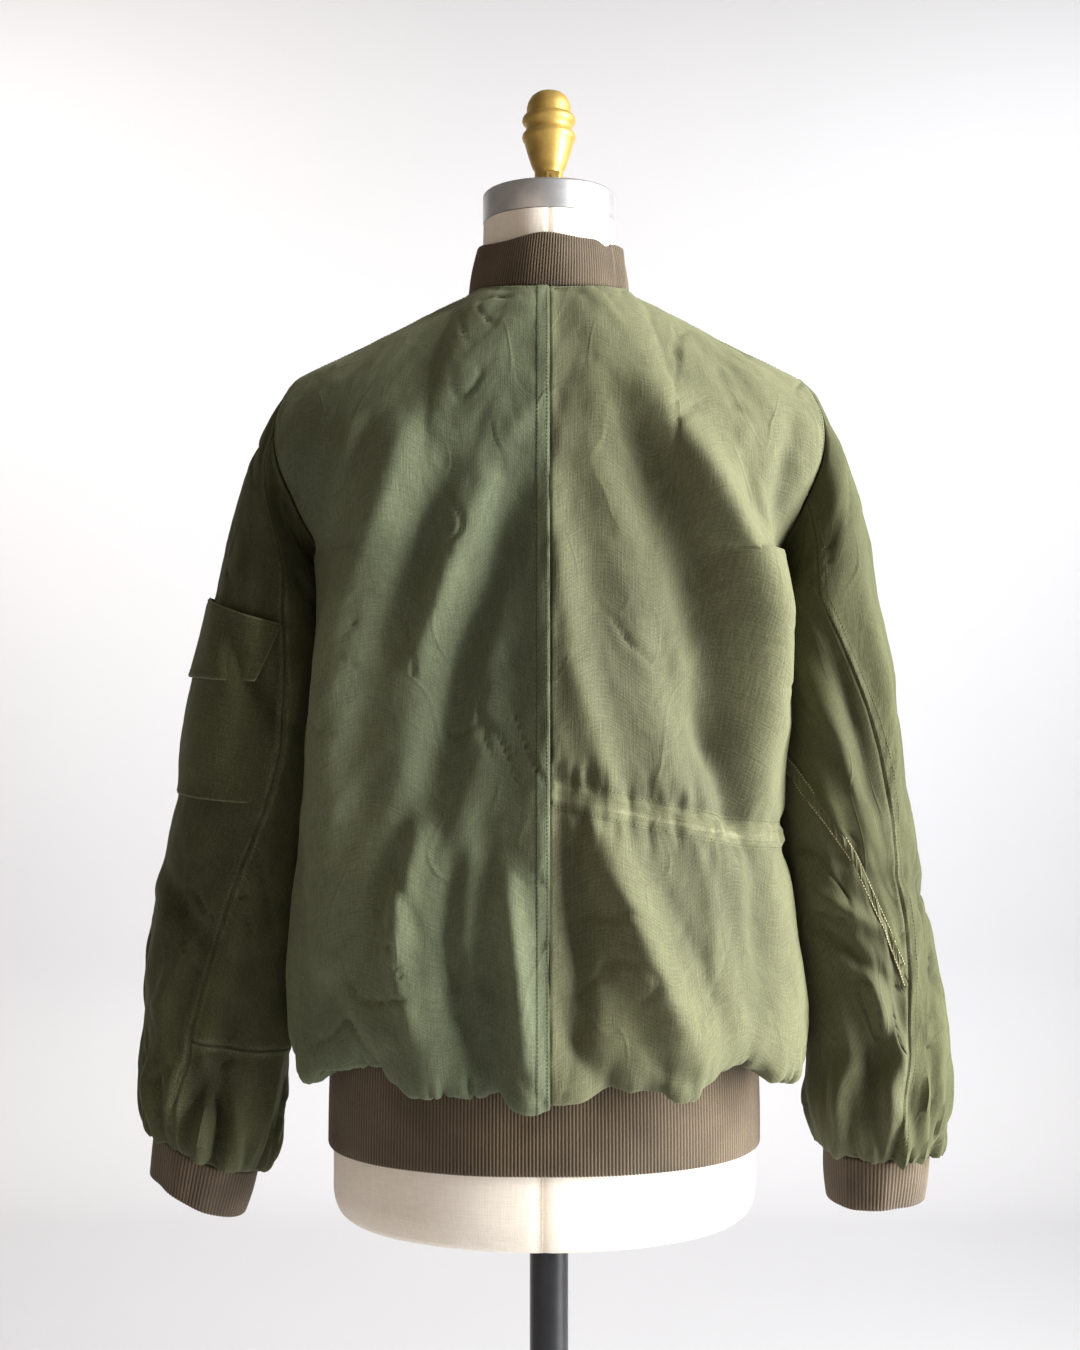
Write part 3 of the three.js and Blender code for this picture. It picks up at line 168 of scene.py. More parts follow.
@dataclass(frozen=True)
class Crease:
    """A soft fold along a line of places: a ridge where depth is above 0, a trough below it."""

    path: tuple[tuple[float, float], ...]
    width: float
    depth: float
    fade: float = 1.4

    def height(self, px: Array, py: Array) -> Array:
        """Height of the fold.

        Args:
            px: first coordinate of the places.
            py: second coordinate of the places.

        Returns:
            Millimetres outwards.
        """
        path = np.asarray(self.path, float)
        runs = run_of(path)
        best = np.full(np.shape(px), 1e9)
        along = np.zeros(np.shape(px))
        for k in range(len(path) - 1):
            step = path[k + 1] - path[k]
            size = np.hypot(*step)
            t = ((px - path[k, 0]) * step[0] + (py - path[k, 1]) * step[1]) / size ** 2
            low = -9.0 if k == 0 else 0.0
            high = 9.0 if k == len(path) - 2 else 1.0
            held = np.clip(t, low, high)
            away = np.hypot(px - path[k, 0] - held * step[0], py - path[k, 1] - held * step[1])
            nearer = away < best
            best = np.where(nearer, away, best)
            along = np.where(nearer, runs[k] + held * size, along)
        past = np.maximum(0, np.maximum(-along, along - runs[-1]))
        share = np.clip(along / runs[-1], 0, 1)
        middle = 1 - 0.5 * np.abs(2 * share - 1) ** 1.5
        return self.depth * middle * np.exp(-((best / self.width) ** 2) - (past / (self.fade * self.width)) ** 2)


def creased(creases: Sequence[Crease], px: Array, py: Array) -> Array:
    """Sum of the creases' heights."""
    return sum((crease.height(px, py) for crease in creases), np.zeros(np.shape(px)))


# Nodes, meshes and pieces

def add_node(tree: bpy.types.NodeTree, kind: str, inputs: dict | None = None, **settings: object) -> bpy.types.Node:
    """Adds one node with its settings and links.

    Args:
        tree: the tree that gets it.
        kind: the node's type name.
        inputs: input name or number, with a value or the output that feeds it.
        settings: the node's own properties.

    Returns:
        The node.
    """
    made = tree.nodes.new(kind)
    for key, value in settings.items():
        setattr(made, key, value)
    for key, value in (inputs or {}).items():
        if isinstance(value, bpy.types.NodeSocket):
            tree.links.new(value, made.inputs[key])
        else:
            made.inputs[key].default_value = value
    return made


def linear(colour: str) -> tuple[float, float, float, float]:
    """An sRGB hex colour in linear light."""
    parts = [int(colour[i:i + 2], 16) / 255 for i in (1, 3, 5)]
    return (*[c / 12.92 if c <= 0.04045 else ((c + 0.055) / 1.055) ** 2.4 for c in parts], 1.0)


def make_mesh(
    name: str,
    points: Array,
    faces: Array | list,
    uv: Array | None = None,
    marks: dict[str, Array] | None = None,
    edges: Array | None = None,
) -> bpy.types.Object:
    """Makes a mesh object with its place in its mesh.

    Args:
        name: the piece's name.
        points: N × 3, in millimetres.
        faces: corners of each face.
        uv: N × 2 cloth places in metres.
        marks: named numbers or vectors of each point.
        edges: loose edges, for a path.

    Returns:
        The linked object.
    """
    mesh = bpy.data.meshes.new(name)
    lines = [] if edges is None else np.asarray(edges).tolist()
    mesh.from_pydata((np.asarray(points) * METRE).tolist(), lines, faces if isinstance(faces, list) else faces.tolist())
    if uv is not None:
        layer = mesh.uv_layers.new(name="cloth")
        corner = np.zeros(len(mesh.loops), int)
        mesh.loops.foreach_get("vertex_index", corner)
        layer.data.foreach_set("uv", np.asarray(uv, np.float32)[corner].ravel())
    for key, values in (marks or {}).items():
        values = np.asarray(values, np.float32)
        if values.ndim == 2:
            mesh.attributes.new(key, "FLOAT_VECTOR", "POINT").data.foreach_set("vector", values.ravel())
        else:
            mesh.attributes.new(key, "FLOAT", "POINT").data.foreach_set("value", values)
    mesh.polygons.foreach_set("use_smooth", np.ones(len(mesh.polygons), bool))
    mesh.update()
    piece = bpy.data.objects.new(name, mesh)
    bpy.context.scene.collection.objects.link(piece)
    return piece


def grid_faces(rows: int, columns: int, closed: bool = False, start: int = 0) -> Array:
    """Quads of a grid of points.

    Args:
        rows: rows of points.
        columns: points in a row.
        closed: the last column joins the first.
        start: number of the grid's first point.

    Returns:
        Faces × 4.
    """
    i, j = np.meshgrid(np.arange(rows - 1), np.arange(columns if closed else columns - 1), indexing="ij")
    k = (j + 1) % columns
    quads = np.stack([i * columns + j, i * columns + k, (i + 1) * columns + k, (i + 1) * columns + j], axis=-1)
    return quads.reshape(-1, 4) + start


def dress(piece: bpy.types.Object, material: bpy.types.Material, slot: str, node: str = "",
          body: str = "jacket") -> None:
    """Gives a finished piece its finish and its body, hides the CAD node that it stands for, and logs it with its size.

    Args:
        piece: the piece.
        material: its finish.
        slot: not used.
        node: the CAD node that it stands for, if any.
        body: the body that it moves with.
    """
    piece.data.materials.clear()
    piece.data.materials.append(material)
    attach(piece, body)
    if node:
        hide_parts(node)
    low = np.array([v[:] for v in piece.bound_box]).min(0)
    high = np.array([v[:] for v in piece.bound_box]).max(0)
    size = " x ".join(f"{1000 * (b - a):.0f}" for a, b in zip(low, high))
    log.info("%s: %d faces, %s mm", piece.name, len(piece.data.polygons), size)


def flat_piece(piece: bpy.types.Object, modifier: bpy.types.Modifier) -> None:
    """Turns a piece's one live modifier into its plain mesh, and removes the modifier."""
    bpy.context.view_layer.update()
    view = bpy.context.evaluated_depsgraph_get()
    made = bpy.data.meshes.new_from_object(piece.evaluated_get(view), preserve_all_data_layers=True, depsgraph=view)
    piece.modifiers.remove(modifier)
    old = piece.data
    made.name = piece.name
    piece.data = made
    bpy.data.meshes.remove(old)


def grow(piece: bpy.types.Object, tree: bpy.types.NodeTree, sizes: dict[str, object]) -> None:
    """Runs a Geometry Nodes tree on a piece and keeps the result as its mesh.

    Args:
        piece: the mesh that the tree starts from.
        tree: the tree, with named inputs.
        sizes: a value for each named input.
    """
    modifier = piece.modifiers.new(tree.name, "NODES")
    modifier.node_group = tree
    sockets = {item.name: item.identifier for item in tree.interface.items_tree if item.item_type == "SOCKET"}
    for name, value in sizes.items():
        modifier[sockets[name]] = value
    flat_piece(piece, modifier)


class Edge(Enum):
    """The four edges of a cloth panel's grid."""

    FIRST = "first column"
    LAST = "last column"
    LOW = "first row"
    HIGH = "last row"


@dataclass
class Panel:
    """A cut piece of cloth as a grid, from the smooth form that it lies on to its folded shape."""

    name: str
    base: Array
    sign: int
    height: Array = field(init=False)
    normals: Array = field(init=False)
    # How much of the paler colour a point takes: fading, and on the right sleeve painted light too.
    fade: Array = field(init=False)
    edge: Array = field(init=False)

    def __post_init__(self) -> None:
        """Measures the grid: normals, distances to its edges and cloth places."""
        along_row = np.gradient(self.base, axis=1)
        along_column = np.gradient(self.base, axis=0)
        self.normals = unit(np.cross(along_row, along_column)) * self.sign
        across = np.cumsum(np.linalg.norm(np.diff(self.base, axis=1, prepend=self.base[:, :1]), axis=2), axis=1)
        along = np.cumsum(np.linalg.norm(np.diff(self.base, axis=0, prepend=self.base[:1]), axis=2), axis=0)
        self.distance = {
            Edge.FIRST: across, Edge.LAST: across[:, -1:] - across,
            Edge.LOW: along, Edge.HIGH: along[-1:] - along,
        }
        self.uv = np.stack([across, along], axis=2)
        self.height = np.zeros(self.base.shape[:2])
        self.fade = np.zeros(self.base.shape[:2])
        self.edge = np.zeros(self.base.shape[:2])

    @property
    def points(self) -> Array:
        """The outer face with its folds."""
        return self.base + self.normals * self.height[..., None]

    def lift(self, height: Array | float) -> None:
        """Raises the outer face."""
        self.height = self.height + height

    def crumple(self, amount: float, seed: int, hold: float = 8.0) -> None:
        """Fine uneven creasing of washed cotton, nothing at the seams.

        Args:
            amount: 1 for cloth that hangs loosely.
            seed: which pattern.
            hold: distance from an edge at which it has its full height.
        """
        u, v = self.uv[..., 0], self.uv[..., 1]
        near = np.minimum.reduce([self.distance[e] for e in Edge])
        free = ramp(0, hold, near)
        bend = 18 * wander(u / 90, v / 90, seed + 5)
        broad = 1.3 * wander((u + bend) / 46, v / 74, seed)
        middle = 0.8 * wander((u + v * 0.35) / 19, (v - bend) / 33, seed + 1)
        small = 0.22 * wander(u / 7.5, (v + bend) / 12, seed + 2)
        ridge = np.abs(wander((u - 0.6 * v + bend) / 26, (v + 0.6 * u) / 48, seed + 3))
        sharp = -2.2 * np.exp(-ridge / 0.07) * ramp(0.1, 0.6, wander(u / 60, v / 60, seed + 4))
        self.lift(amount * free * (broad + middle + small + sharp))

    def pucker(self, edge: Edge, amount: float, reach: float, pitch: float, seed: int) -> None:
        """Small gathers that a seam's stitching draws into the cloth.

        Args:
            edge: the seam's edge.
            amount: height in millimetres.
            reach: how far from the seam they die out.
            pitch: distance from one gather to the next.
            seed: which pattern.
        """
        away = self.distance[edge]
        run = self.distance[Edge.LOW if edge in (Edge.FIRST, Edge.LAST) else Edge.FIRST]
        wave = wander(run / pitch * 2, away / (3 * reach), seed) + 0.6 * wander(run / pitch, away / (2 * reach), seed + 1)
        patch = 0.55 + 0.45 * wander(run / 70, 0, seed + 2)
        self.lift(amount * wave * patch * ramp(0, 2.4, away) * np.exp(-away / reach))

    def seam(self, edge: Edge, depth: float = 0.9, width: float = 1.7, wear: float = 0.5) -> None:
        """Draws the cloth in at a seam, marks the fold beside it for wear and marks the seam line for painted shade.

        Args:
            edge: the seam's edge.
            depth: how far the edge dips.
            width: width of the dip.
            wear: how much the fold beside it is rubbed.
        """
        away = self.distance[edge]
        self.lift(-depth * bell(away, width))
        rub = bell(away - 2.6, 1.6) * (0.6 + 0.4 * wander(self.uv[..., 0] / 9, self.uv[..., 1] / 9, 77))
        self.edge = np.maximum(self.edge, wear * rub)
        # The seam line is marked below 0 for painted shade in its groove.
        self.edge = self.edge - 1.0 * bell(away, 1.0)

    def welt(self, edge: Edge, start: float, end: float, rise: float) -> None:
        """A turned layer under the cloth: a low step between two distances from an edge."""
        away = self.distance[edge]
        self.lift(rise * ramp(start - 0.9, start + 0.9, away) * (1 - ramp(end - 0.9, end + 0.9, away)))

    def line(self, edge: Edge, inset: float, start: float = 0.0, end: float = 1.0, lift: float = 0.25) -> "Path":
        """A line that follows an edge at a distance.

        Args:
            edge: the edge.
            inset: distance from it.
            start: share of the edge at which the line starts.
            end: share at which it ends.
            lift: height over the cloth.

        Returns:
            The line's points and outward directions.
        """
        points = self.points
        away = self.distance[edge]
        if edge in (Edge.LOW, Edge.HIGH):
            points, away, normals = points.transpose(1, 0, 2), away.T, self.normals.transpose(1, 0, 2)
        else:
            normals = self.normals
        first, last = round(start * (len(points) - 1)), round(end * (len(points) - 1))
        backwards = edge in (Edge.LAST, Edge.HIGH)
        places, ups = [], []
        for row in range(first, last + 1):
            run, row_points, row_normals = away[row], points[row], normals[row]
            if backwards:
                run, row_points, row_normals = run[::-1], row_points[::-1], row_normals[::-1]
            if run[-1] < inset:
                continue
            places.append([np.interp(inset, run, row_points[:, k]) for k in range(3)])
            ups.append([np.interp(inset, run, row_normals[:, k]) for k in range(3)])
        up = unit(np.array(ups))
        return Path(np.array(places) + up * lift, up)

    def shell(self, thickness: float) -> bpy.types.Object:
        """Closes the panel into a thin wall.

        Args:
            thickness: the cloth's thickness.

        Returns:
            The mesh object.
        """
        rows, columns = self.height.shape
        outer = self.points
        near = np.minimum.reduce([self.distance[e] for e in Edge])
        wall = thickness * (0.75 + 0.25 * ramp(0, 2, near))
        inner = outer - self.normals * wall[..., None]
        size = rows * columns
        faces = [grid_faces(rows, columns), grid_faces(rows, columns, start=size)[:, ::-1]]
        ring = np.concatenate([
            np.arange(columns), np.arange(1, rows) * columns + columns - 1,
            (rows - 1) * columns + np.arange(columns - 2, -1, -1), np.arange(rows - 2, 0, -1) * columns,
        ])
        after = np.roll(ring, -1)
        faces.append(np.stack([after, ring, ring + size, after + size], axis=1))
        faces = np.concatenate(faces)
        if self.sign < 0:
            faces = faces[:, ::-1]
        marks = {
            "fade": np.tile(self.fade.ravel(), 2),
            "edge": np.tile(self.edge.ravel(), 2),
            # Fold height, which the cotton's finish turns into painted light on fold tops and painted shade in hollows.
            "crest": np.tile(np.clip(self.height / 5, -1, 1).ravel(), 2),
        }
        points = np.concatenate([outer.reshape(-1, 3), inner.reshape(-1, 3)])
        uv = np.tile(self.uv.reshape(-1, 2) * METRE, (2, 1))
        piece = make_mesh(self.name, points, faces, uv, marks)
        piece.data.set_sharp_from_angle(angle=math.radians(60))
        return piece


@dataclass
class Path:
    """A line of points with the direction that stands off the cloth at each."""

    points: Array
    ups: Array


# Repeated things, by Geometry Nodes

def new_tree(name: str, sizes: Sequence[tuple[str, str]]) -> tuple[bpy.types.NodeTree, bpy.types.Node, bpy.types.Node]:
    """Starts a Geometry Nodes tree.

    Args:
        name: the tree's name.
        sizes: name and socket type of each input after the geometry.

    Returns:
        The tree, its group input and its group output.
    """
    tree = bpy.data.node_groups.new(name, "GeometryNodeTree")
    tree.interface.new_socket("Geometry", in_out="INPUT", socket_type="NodeSocketGeometry")
    for label, kind in sizes:
        tree.interface.new_socket(label, in_out="INPUT", socket_type=kind)
    tree.interface.new_socket("Geometry", in_out="OUTPUT", socket_type="NodeSocketGeometry")
    return tree, add_node(tree, "NodeGroupInput"), add_node(tree, "NodeGroupOutput")


def end_tree(tree: bpy.types.NodeTree, geometry: bpy.types.NodeSocket, source: bpy.types.Node, out: bpy.types.Node) -> None:
    """Ends a tree in Realize Instances and Set Material."""
    real = add_node(tree, "GeometryNodeRealizeInstances", {"Geometry": geometry})
    inputs = {"Geometry": real.outputs[0], "Material": source.outputs["Material"]}
    coated = add_node(tree, "GeometryNodeSetMaterial", inputs)
    tree.links.new(coated.outputs[0], out.inputs[0])


def row_tree() -> bpy.types.NodeTree:
    """Tree that sets small thread or metal beads along paths.

    Returns:
        A tree with the inputs Pitch, Size, Loose, Seed and Material.
    """
    sizes = [("Pitch", "NodeSocketFloat"), ("Size", "NodeSocketVector"), ("Loose", "NodeSocketFloat"),
             ("Seed", "NodeSocketInt"), ("Material", "NodeSocketMaterial")]
    tree, source, out = new_tree("beads along a path", sizes)
    curve = add_node(tree, "GeometryNodeMeshToCurve", {"Mesh": source.outputs["Geometry"]})
    even = add_node(tree, "GeometryNodeResampleCurve", {"Curve": curve.outputs[0]}, mode="LENGTH")
    tree.links.new(source.outputs["Pitch"], even.inputs["Length"])
    bead = add_node(tree, "GeometryNodeMeshUVSphere", {"Segments": 5, "Rings": 3, "Radius": 0.5})
    soft = add_node(tree, "GeometryNodeSetShadeSmooth", {"Geometry": bead.outputs["Mesh"]})
    up = add_node(tree, "GeometryNodeInputNamedAttribute", {"Name": "up"}, data_type="FLOAT_VECTOR")
    tangent = add_node(tree, "GeometryNodeInputTangent")
    forward = add_node(tree, "FunctionNodeAlignRotationToVector", {"Vector": tangent.outputs[0]}, axis="X")
    stood = add_node(tree, "FunctionNodeAlignRotationToVector",
                     {"Rotation": forward.outputs[0], "Vector": up.outputs["Attribute"]}, axis="Z", pivot_axis="X")
    loose = add_node(tree, "ShaderNodeMath", {0: source.outputs["Loose"], 1: -1.0}, operation="MULTIPLY")
    swing = add_node(tree, "FunctionNodeRandomValue",
                     {"Min": loose.outputs[0], "Max": source.outputs["Loose"], "Seed": source.outputs["Seed"]},
                     data_type="FLOAT")
    for socket in [s for s in swing.inputs if s.enabled and s.name in ("Min", "Max")]:
        feed = loose.outputs[0] if socket.name == "Min" else source.outputs["Loose"]
        tree.links.new(feed, socket)
    turn = add_node(tree, "FunctionNodeAxisAngleToRotation", {"Axis": (0.0, 0.0, 1.0)})
    tree.links.new([s for s in swing.outputs if s.enabled][0], turn.inputs["Angle"])
    turned = add_node(tree, "FunctionNodeRotateRotation", {"Rotation": stood.outputs[0], "Rotate By": turn.outputs[0]},
                      rotation_space="LOCAL")
    placed = add_node(tree, "GeometryNodeInstanceOnPoints",
                      {"Points": even.outputs[0], "Instance": soft.outputs[0], "Rotation": turned.outputs[0],
                       "Scale": source.outputs["Size"]})
    end_tree(tree, placed.outputs[0], source, out)
    return tree


def wale_tree() -> bpy.types.NodeTree:
    """Tree that raises a knit's wales on a plain tube.

    Returns:
        A tree with the inputs Pitch, Rise and Material. It reads the attributes round and knit.
    """
    sizes = [("Pitch", "NodeSocketFloat"), ("Rise", "NodeSocketFloat"), ("Material", "NodeSocketMaterial")]
    tree, source, out = new_tree("wales of a rib knit", sizes)
    round_place = add_node(tree, "GeometryNodeInputNamedAttribute", {"Name": "round"}, data_type="FLOAT")
    weight = add_node(tree, "GeometryNodeInputNamedAttribute", {"Name": "knit"}, data_type="FLOAT")
    count = add_node(tree, "ShaderNodeMath", {0: round_place.outputs["Attribute"], 1: source.outputs["Pitch"]},
                     operation="DIVIDE")
    phase = add_node(tree, "ShaderNodeMath", {0: count.outputs[0], 1: 2 * math.pi}, operation="MULTIPLY")
    wave = add_node(tree, "ShaderNodeMath", {0: phase.outputs[0]}, operation="COSINE")
    high = add_node(tree, "ShaderNodeMath", {0: wave.outputs[0], 1: source.outputs["Rise"]}, operation="MULTIPLY")
    held = add_node(tree, "ShaderNodeMath", {0: high.outputs[0], 1: weight.outputs["Attribute"]}, operation="MULTIPLY")
    outwards = add_node(tree, "GeometryNodeInputNamedAttribute", {"Name": "out"}, data_type="FLOAT_VECTOR")
    push = add_node(tree, "ShaderNodeVectorMath", {0: outwards.outputs["Attribute"]}, operation="SCALE")
    tree.links.new(held.outputs[0], push.inputs["Scale"])
    raised = add_node(tree, "GeometryNodeSetPosition",
                      {"Geometry": source.outputs["Geometry"], "Offset": push.outputs[0]})
    end_tree(tree, raised.outputs[0], source, out)
    return tree


@dataclass
class Threads:
    """All rows of one thread or one kind of tooth on one body."""

    name: str
    pitch: float
    size: tuple[float, float, float]
    loose: float = 0.0
    seed: int = 1
    paths: list[Path] = field(default_factory=list)

    def add(self, *paths: Path) -> None:
        """Adds rows."""
        self.paths.extend(path for path in paths if len(path.points) > 1)

    def build(self, tree: bpy.types.NodeTree, material: bpy.types.Material, slot: str) -> bpy.types.Object:
        """Makes the rows.

        Args:
            tree: the tree from row_tree.
            material: the thread's or metal's finish.
            slot: the record's slot.

        Returns:
            The piece.
        """
        points, ups, edges, start = [], [], [], 0
        for path in self.paths:
            count = len(path.points)
            points.append(path.points)
            ups.append(path.ups)
            edges.append(np.stack([np.arange(count - 1), np.arange(1, count)], axis=1) + start)
            start += count
        piece = make_mesh(self.name, np.concatenate(points), [], None, {"up": np.concatenate(ups)}, np.concatenate(edges))
        size = tuple(METRE * s for s in self.size)
        grow(piece, tree, {"Pitch": self.pitch * METRE, "Size": size, "Loose": self.loose, "Seed": self.seed,
                           "Material": material})
        dress(piece, material, slot)
        return piece


# Finishes

def cloth_place(tree: bpy.types.NodeTree, across: float, along: float) -> bpy.types.NodeSocket:
    """Cloth place from the piece's own UV map, divided by a cell size in millimetres each way."""
    place = add_node(tree, "ShaderNodeUVMap", uv_map="cloth")
    cells = (1 / (across * METRE), 1 / (along * METRE), 1.0)
    return add_node(tree, "ShaderNodeVectorMath", {0: place.outputs[0], 1: cells}, operation="MULTIPLY").outputs[0]


def noise(tree: bpy.types.NodeTree, place: bpy.types.NodeSocket, scale: float, detail: float = 2.0,
          rough: float = 0.5) -> bpy.types.NodeSocket:
    """Noise value at a place."""
    made = add_node(tree, "ShaderNodeTexNoise", {"Vector": place, "Scale": scale, "Detail": detail, "Roughness": rough})
    return made.outputs[0]


def mapped(tree: bpy.types.NodeTree, value: bpy.types.NodeSocket, low: float, high: float, to_low: float = 0.0,
           to_high: float = 1.0) -> bpy.types.NodeSocket:
    """A value moved from one range to another and held there."""
    made = add_node(tree, "ShaderNodeMapRange", {"Value": value, "From Min": low, "From Max": high,
                                                 "To Min": to_low, "To Max": to_high})
    return made.outputs[0]


def blend_colours(tree: bpy.types.NodeTree, share: bpy.types.NodeSocket | float, first: object, second: object,
                  way: str = "MIX") -> bpy.types.NodeSocket:
    """Mix of two colours."""
    made = add_node(tree, "ShaderNodeMix", {0: share, 6: first, 7: second}, data_type="RGBA", blend_type=way)
    return made.outputs[2]


def sum_of(tree: bpy.types.NodeTree, first: object, second: object, way: str = "ADD") -> bpy.types.NodeSocket:
    """Result of one sum on two values."""
    return add_node(tree, "ShaderNodeMath", {0: first, 1: second}, operation=way).outputs[0]


def object_place(tree: bpy.types.NodeTree) -> bpy.types.NodeSocket:
    """Place in the piece's own axes, in metres."""
    return add_node(tree, "ShaderNodeTexCoord").outputs["Object"]


def mark(tree: bpy.types.NodeTree, name: str) -> bpy.types.NodeSocket:
    """A named number of the mesh."""
    return add_node(tree, "ShaderNodeAttribute", attribute_name=name).outputs["Fac"]


def shaded(tree: bpy.types.NodeTree, colour: bpy.types.NodeSocket, value: bpy.types.NodeSocket) -> bpy.types.NodeSocket:
    """A colour made darker or paler by a value."""
    grey = add_node(tree, "ShaderNodeCombineColor", {0: value, 1: value, 2: value}).outputs[0]
    return blend_colours(tree, 1.0, colour, grey, "MULTIPLY")


def relief_of(tree: bpy.types.NodeTree, height: bpy.types.NodeSocket, strength: float, depth: float,
              under: bpy.types.NodeSocket | None = None) -> bpy.types.NodeSocket:
    """Normals of a fine relief.

    Args:
        tree: the material's tree.
        height: the relief's height, from 0 to 1.
        strength: how much of it shows.
        depth: its height in metres.
        under: normals of a relief under it.

    Returns:
        The normals.
    """
    inputs = {"Height": height, "Strength": strength, "Distance": depth}
    return add_node(tree, "ShaderNodeBump", inputs | ({"Normal": under} if under else {})).outputs[0]


def new_material(name: str) -> tuple[bpy.types.Material, bpy.types.NodeTree, bpy.types.Node]:
    """Starts a material with one Principled surface."""
    material = bpy.data.materials.new(name)
    material.use_nodes = True
    tree = material.node_tree
    tree.nodes.clear()
    surface = add_node(tree, "ShaderNodeBsdfPrincipled")
    add_node(tree, "ShaderNodeOutputMaterial", {"Surface": surface.outputs[0]})
    return material, tree, surface


class Weave(Enum):
    """How a cotton cloth is woven."""

    SATEEN = "sateen"
    POPLIN = "poplin with a fine grid"


@dataclass(frozen=True)
class WashedCotton:
    """Washed olive cotton: matt, slightly fuzzy yarns, paler where it has faded and at rubbed seams, with painted light
    on fold tops and painted shade in fold hollows and seam grooves.
    """

    name: str
    dyed: str
    faded: str
    shadow: str
    weave: Weave
    rubbed: str = "#85866a"
    fade_bias: float = 0.0
    # Real threads are 0.35 to 0.5 mm apart, finer than a pixel; slubs are drawn 1.1 mm wide so that they show.
    slub: float = 1.1
    slub_length: float = 16.0
    grid: float = 3.0

    def make(self) -> bpy.types.Material:
        """Builds the material."""
        material, tree, surface = new_material(self.name)
        place = object_place(tree)
        weft = noise(tree, cloth_place(tree, self.slub_length, self.slub), 1.0, 1.0)
        warp = noise(tree, cloth_place(tree, self.slub, self.slub_length), 1.0, 1.0)
        yarns = sum_of(tree, weft, warp)
        grain = noise(tree, cloth_place(tree, 1.0, 1.0), 0.9, 3.0, 0.7)
        fade = noise(tree, place, 7.0, 4.0, 0.62)
        patches = noise(tree, place, 34.0, 3.0, 0.6)
        # The fade mark: fading, and on the right sleeve painted light as well.
        fade_and_painted_light = mark(tree, "fade")
        edge = mark(tree, "edge")
        crest = mark(tree, "crest")
        share = sum_of(tree, mapped(tree, fade, 0.3, 0.7, 0.25, 0.55), mapped(tree, patches, 0.35, 0.7, -0.06, 0.06))
        share = sum_of(tree, share, fade_and_painted_light)
        # Painted light and shade: fold tops take more of the paler colour, hollows more of the dyed one.
        share = sum_of(tree, share, mapped(tree, crest, -1, 1, -0.22 + self.fade_bias, 0.22 + self.fade_bias))
        share = add_node(tree, "ShaderNodeClamp", {"Value": share}).outputs[0]
        colour = blend_colours(tree, share, linear(self.dyed), linear(self.faded))
        worn = mapped(tree, sum_of(tree, edge, mapped(tree, grain, 0.35, 0.65, -0.25, 0.25)), 0.05, 0.9, 0.0, 0.5)
        colour = blend_colours(tree, worn, colour, linear(self.rubbed))
        # Painted shade: the seam lines, marked below 0, take the shadow colour.
        groove = mapped(tree, edge, -1.0, -0.1, 0.75, 0.0)
        colour = blend_colours(tree, groove, colour, linear(self.shadow))
        spread = mapped(tree, yarns, 0.75, 1.25, 0.84, 1.16)
        colour = shaded(tree, colour, spread)
        speckle = mapped(tree, grain, 0.3, 0.7, 0.76, 1.24)
        colour = shaded(tree, colour, speckle)
        relief = sum_of(tree, yarns, grain)
        if self.weave is Weave.POPLIN:
            lines = [add_node(tree, "ShaderNodeTexWave", {"Vector": cloth_place(tree, self.grid, self.grid),
                                                          "Scale": math.pi / 10, "Distortion": 0.6,
                                                          "Detail": 1.0},
                              wave_type="BANDS", bands_direction=axis).outputs["Fac"] for axis in ("X", "Y")]
            ribs = sum_of(tree, *lines, "MAXIMUM")
            relief = sum_of(tree, relief, mapped(tree, ribs, 0.75, 1.0, 0.0, 0.12))
            pale = mapped(tree, ribs, 0.8, 1.0, 0.0, 0.025)
            colour = blend_colours(tree, pale, colour, linear("#c9c79a"))
        folds = noise(tree, cloth_place(tree, 44.0, 78.0), 1.0, 0.6, 0.5)
        ridge = sum_of(tree, sum_of(tree, folds, 0.5, "SUBTRACT"), 0.0, "ABSOLUTE")
        held = mapped(tree, noise(tree, cloth_place(tree, 70.0, 90.0), 1.0, 1.0), 0.45, 0.65)
        crease = sum_of(tree, mapped(tree, ridge, 0.0, 0.03, 1.0, 0.0), held, "MULTIPLY")
        washed = relief_of(tree, sum_of(tree, crease, folds), 0.4, 0.0014)
        tree.links.new(colour, surface.inputs["Base Color"])
        tree.links.new(relief_of(tree, relief, 0.4, 0.00045, washed), surface.inputs["Normal"])
        surface.inputs["Roughness"].default_value = 0.88
        surface.inputs["Specular IOR Level"].default_value = 0.25
        surface.inputs["Sheen Weight"].default_value = 0.22
        surface.inputs["Sheen Roughness"].default_value = 0.5
        surface.inputs["Sheen Tint"].default_value = linear("#c5c8a0")
        return material


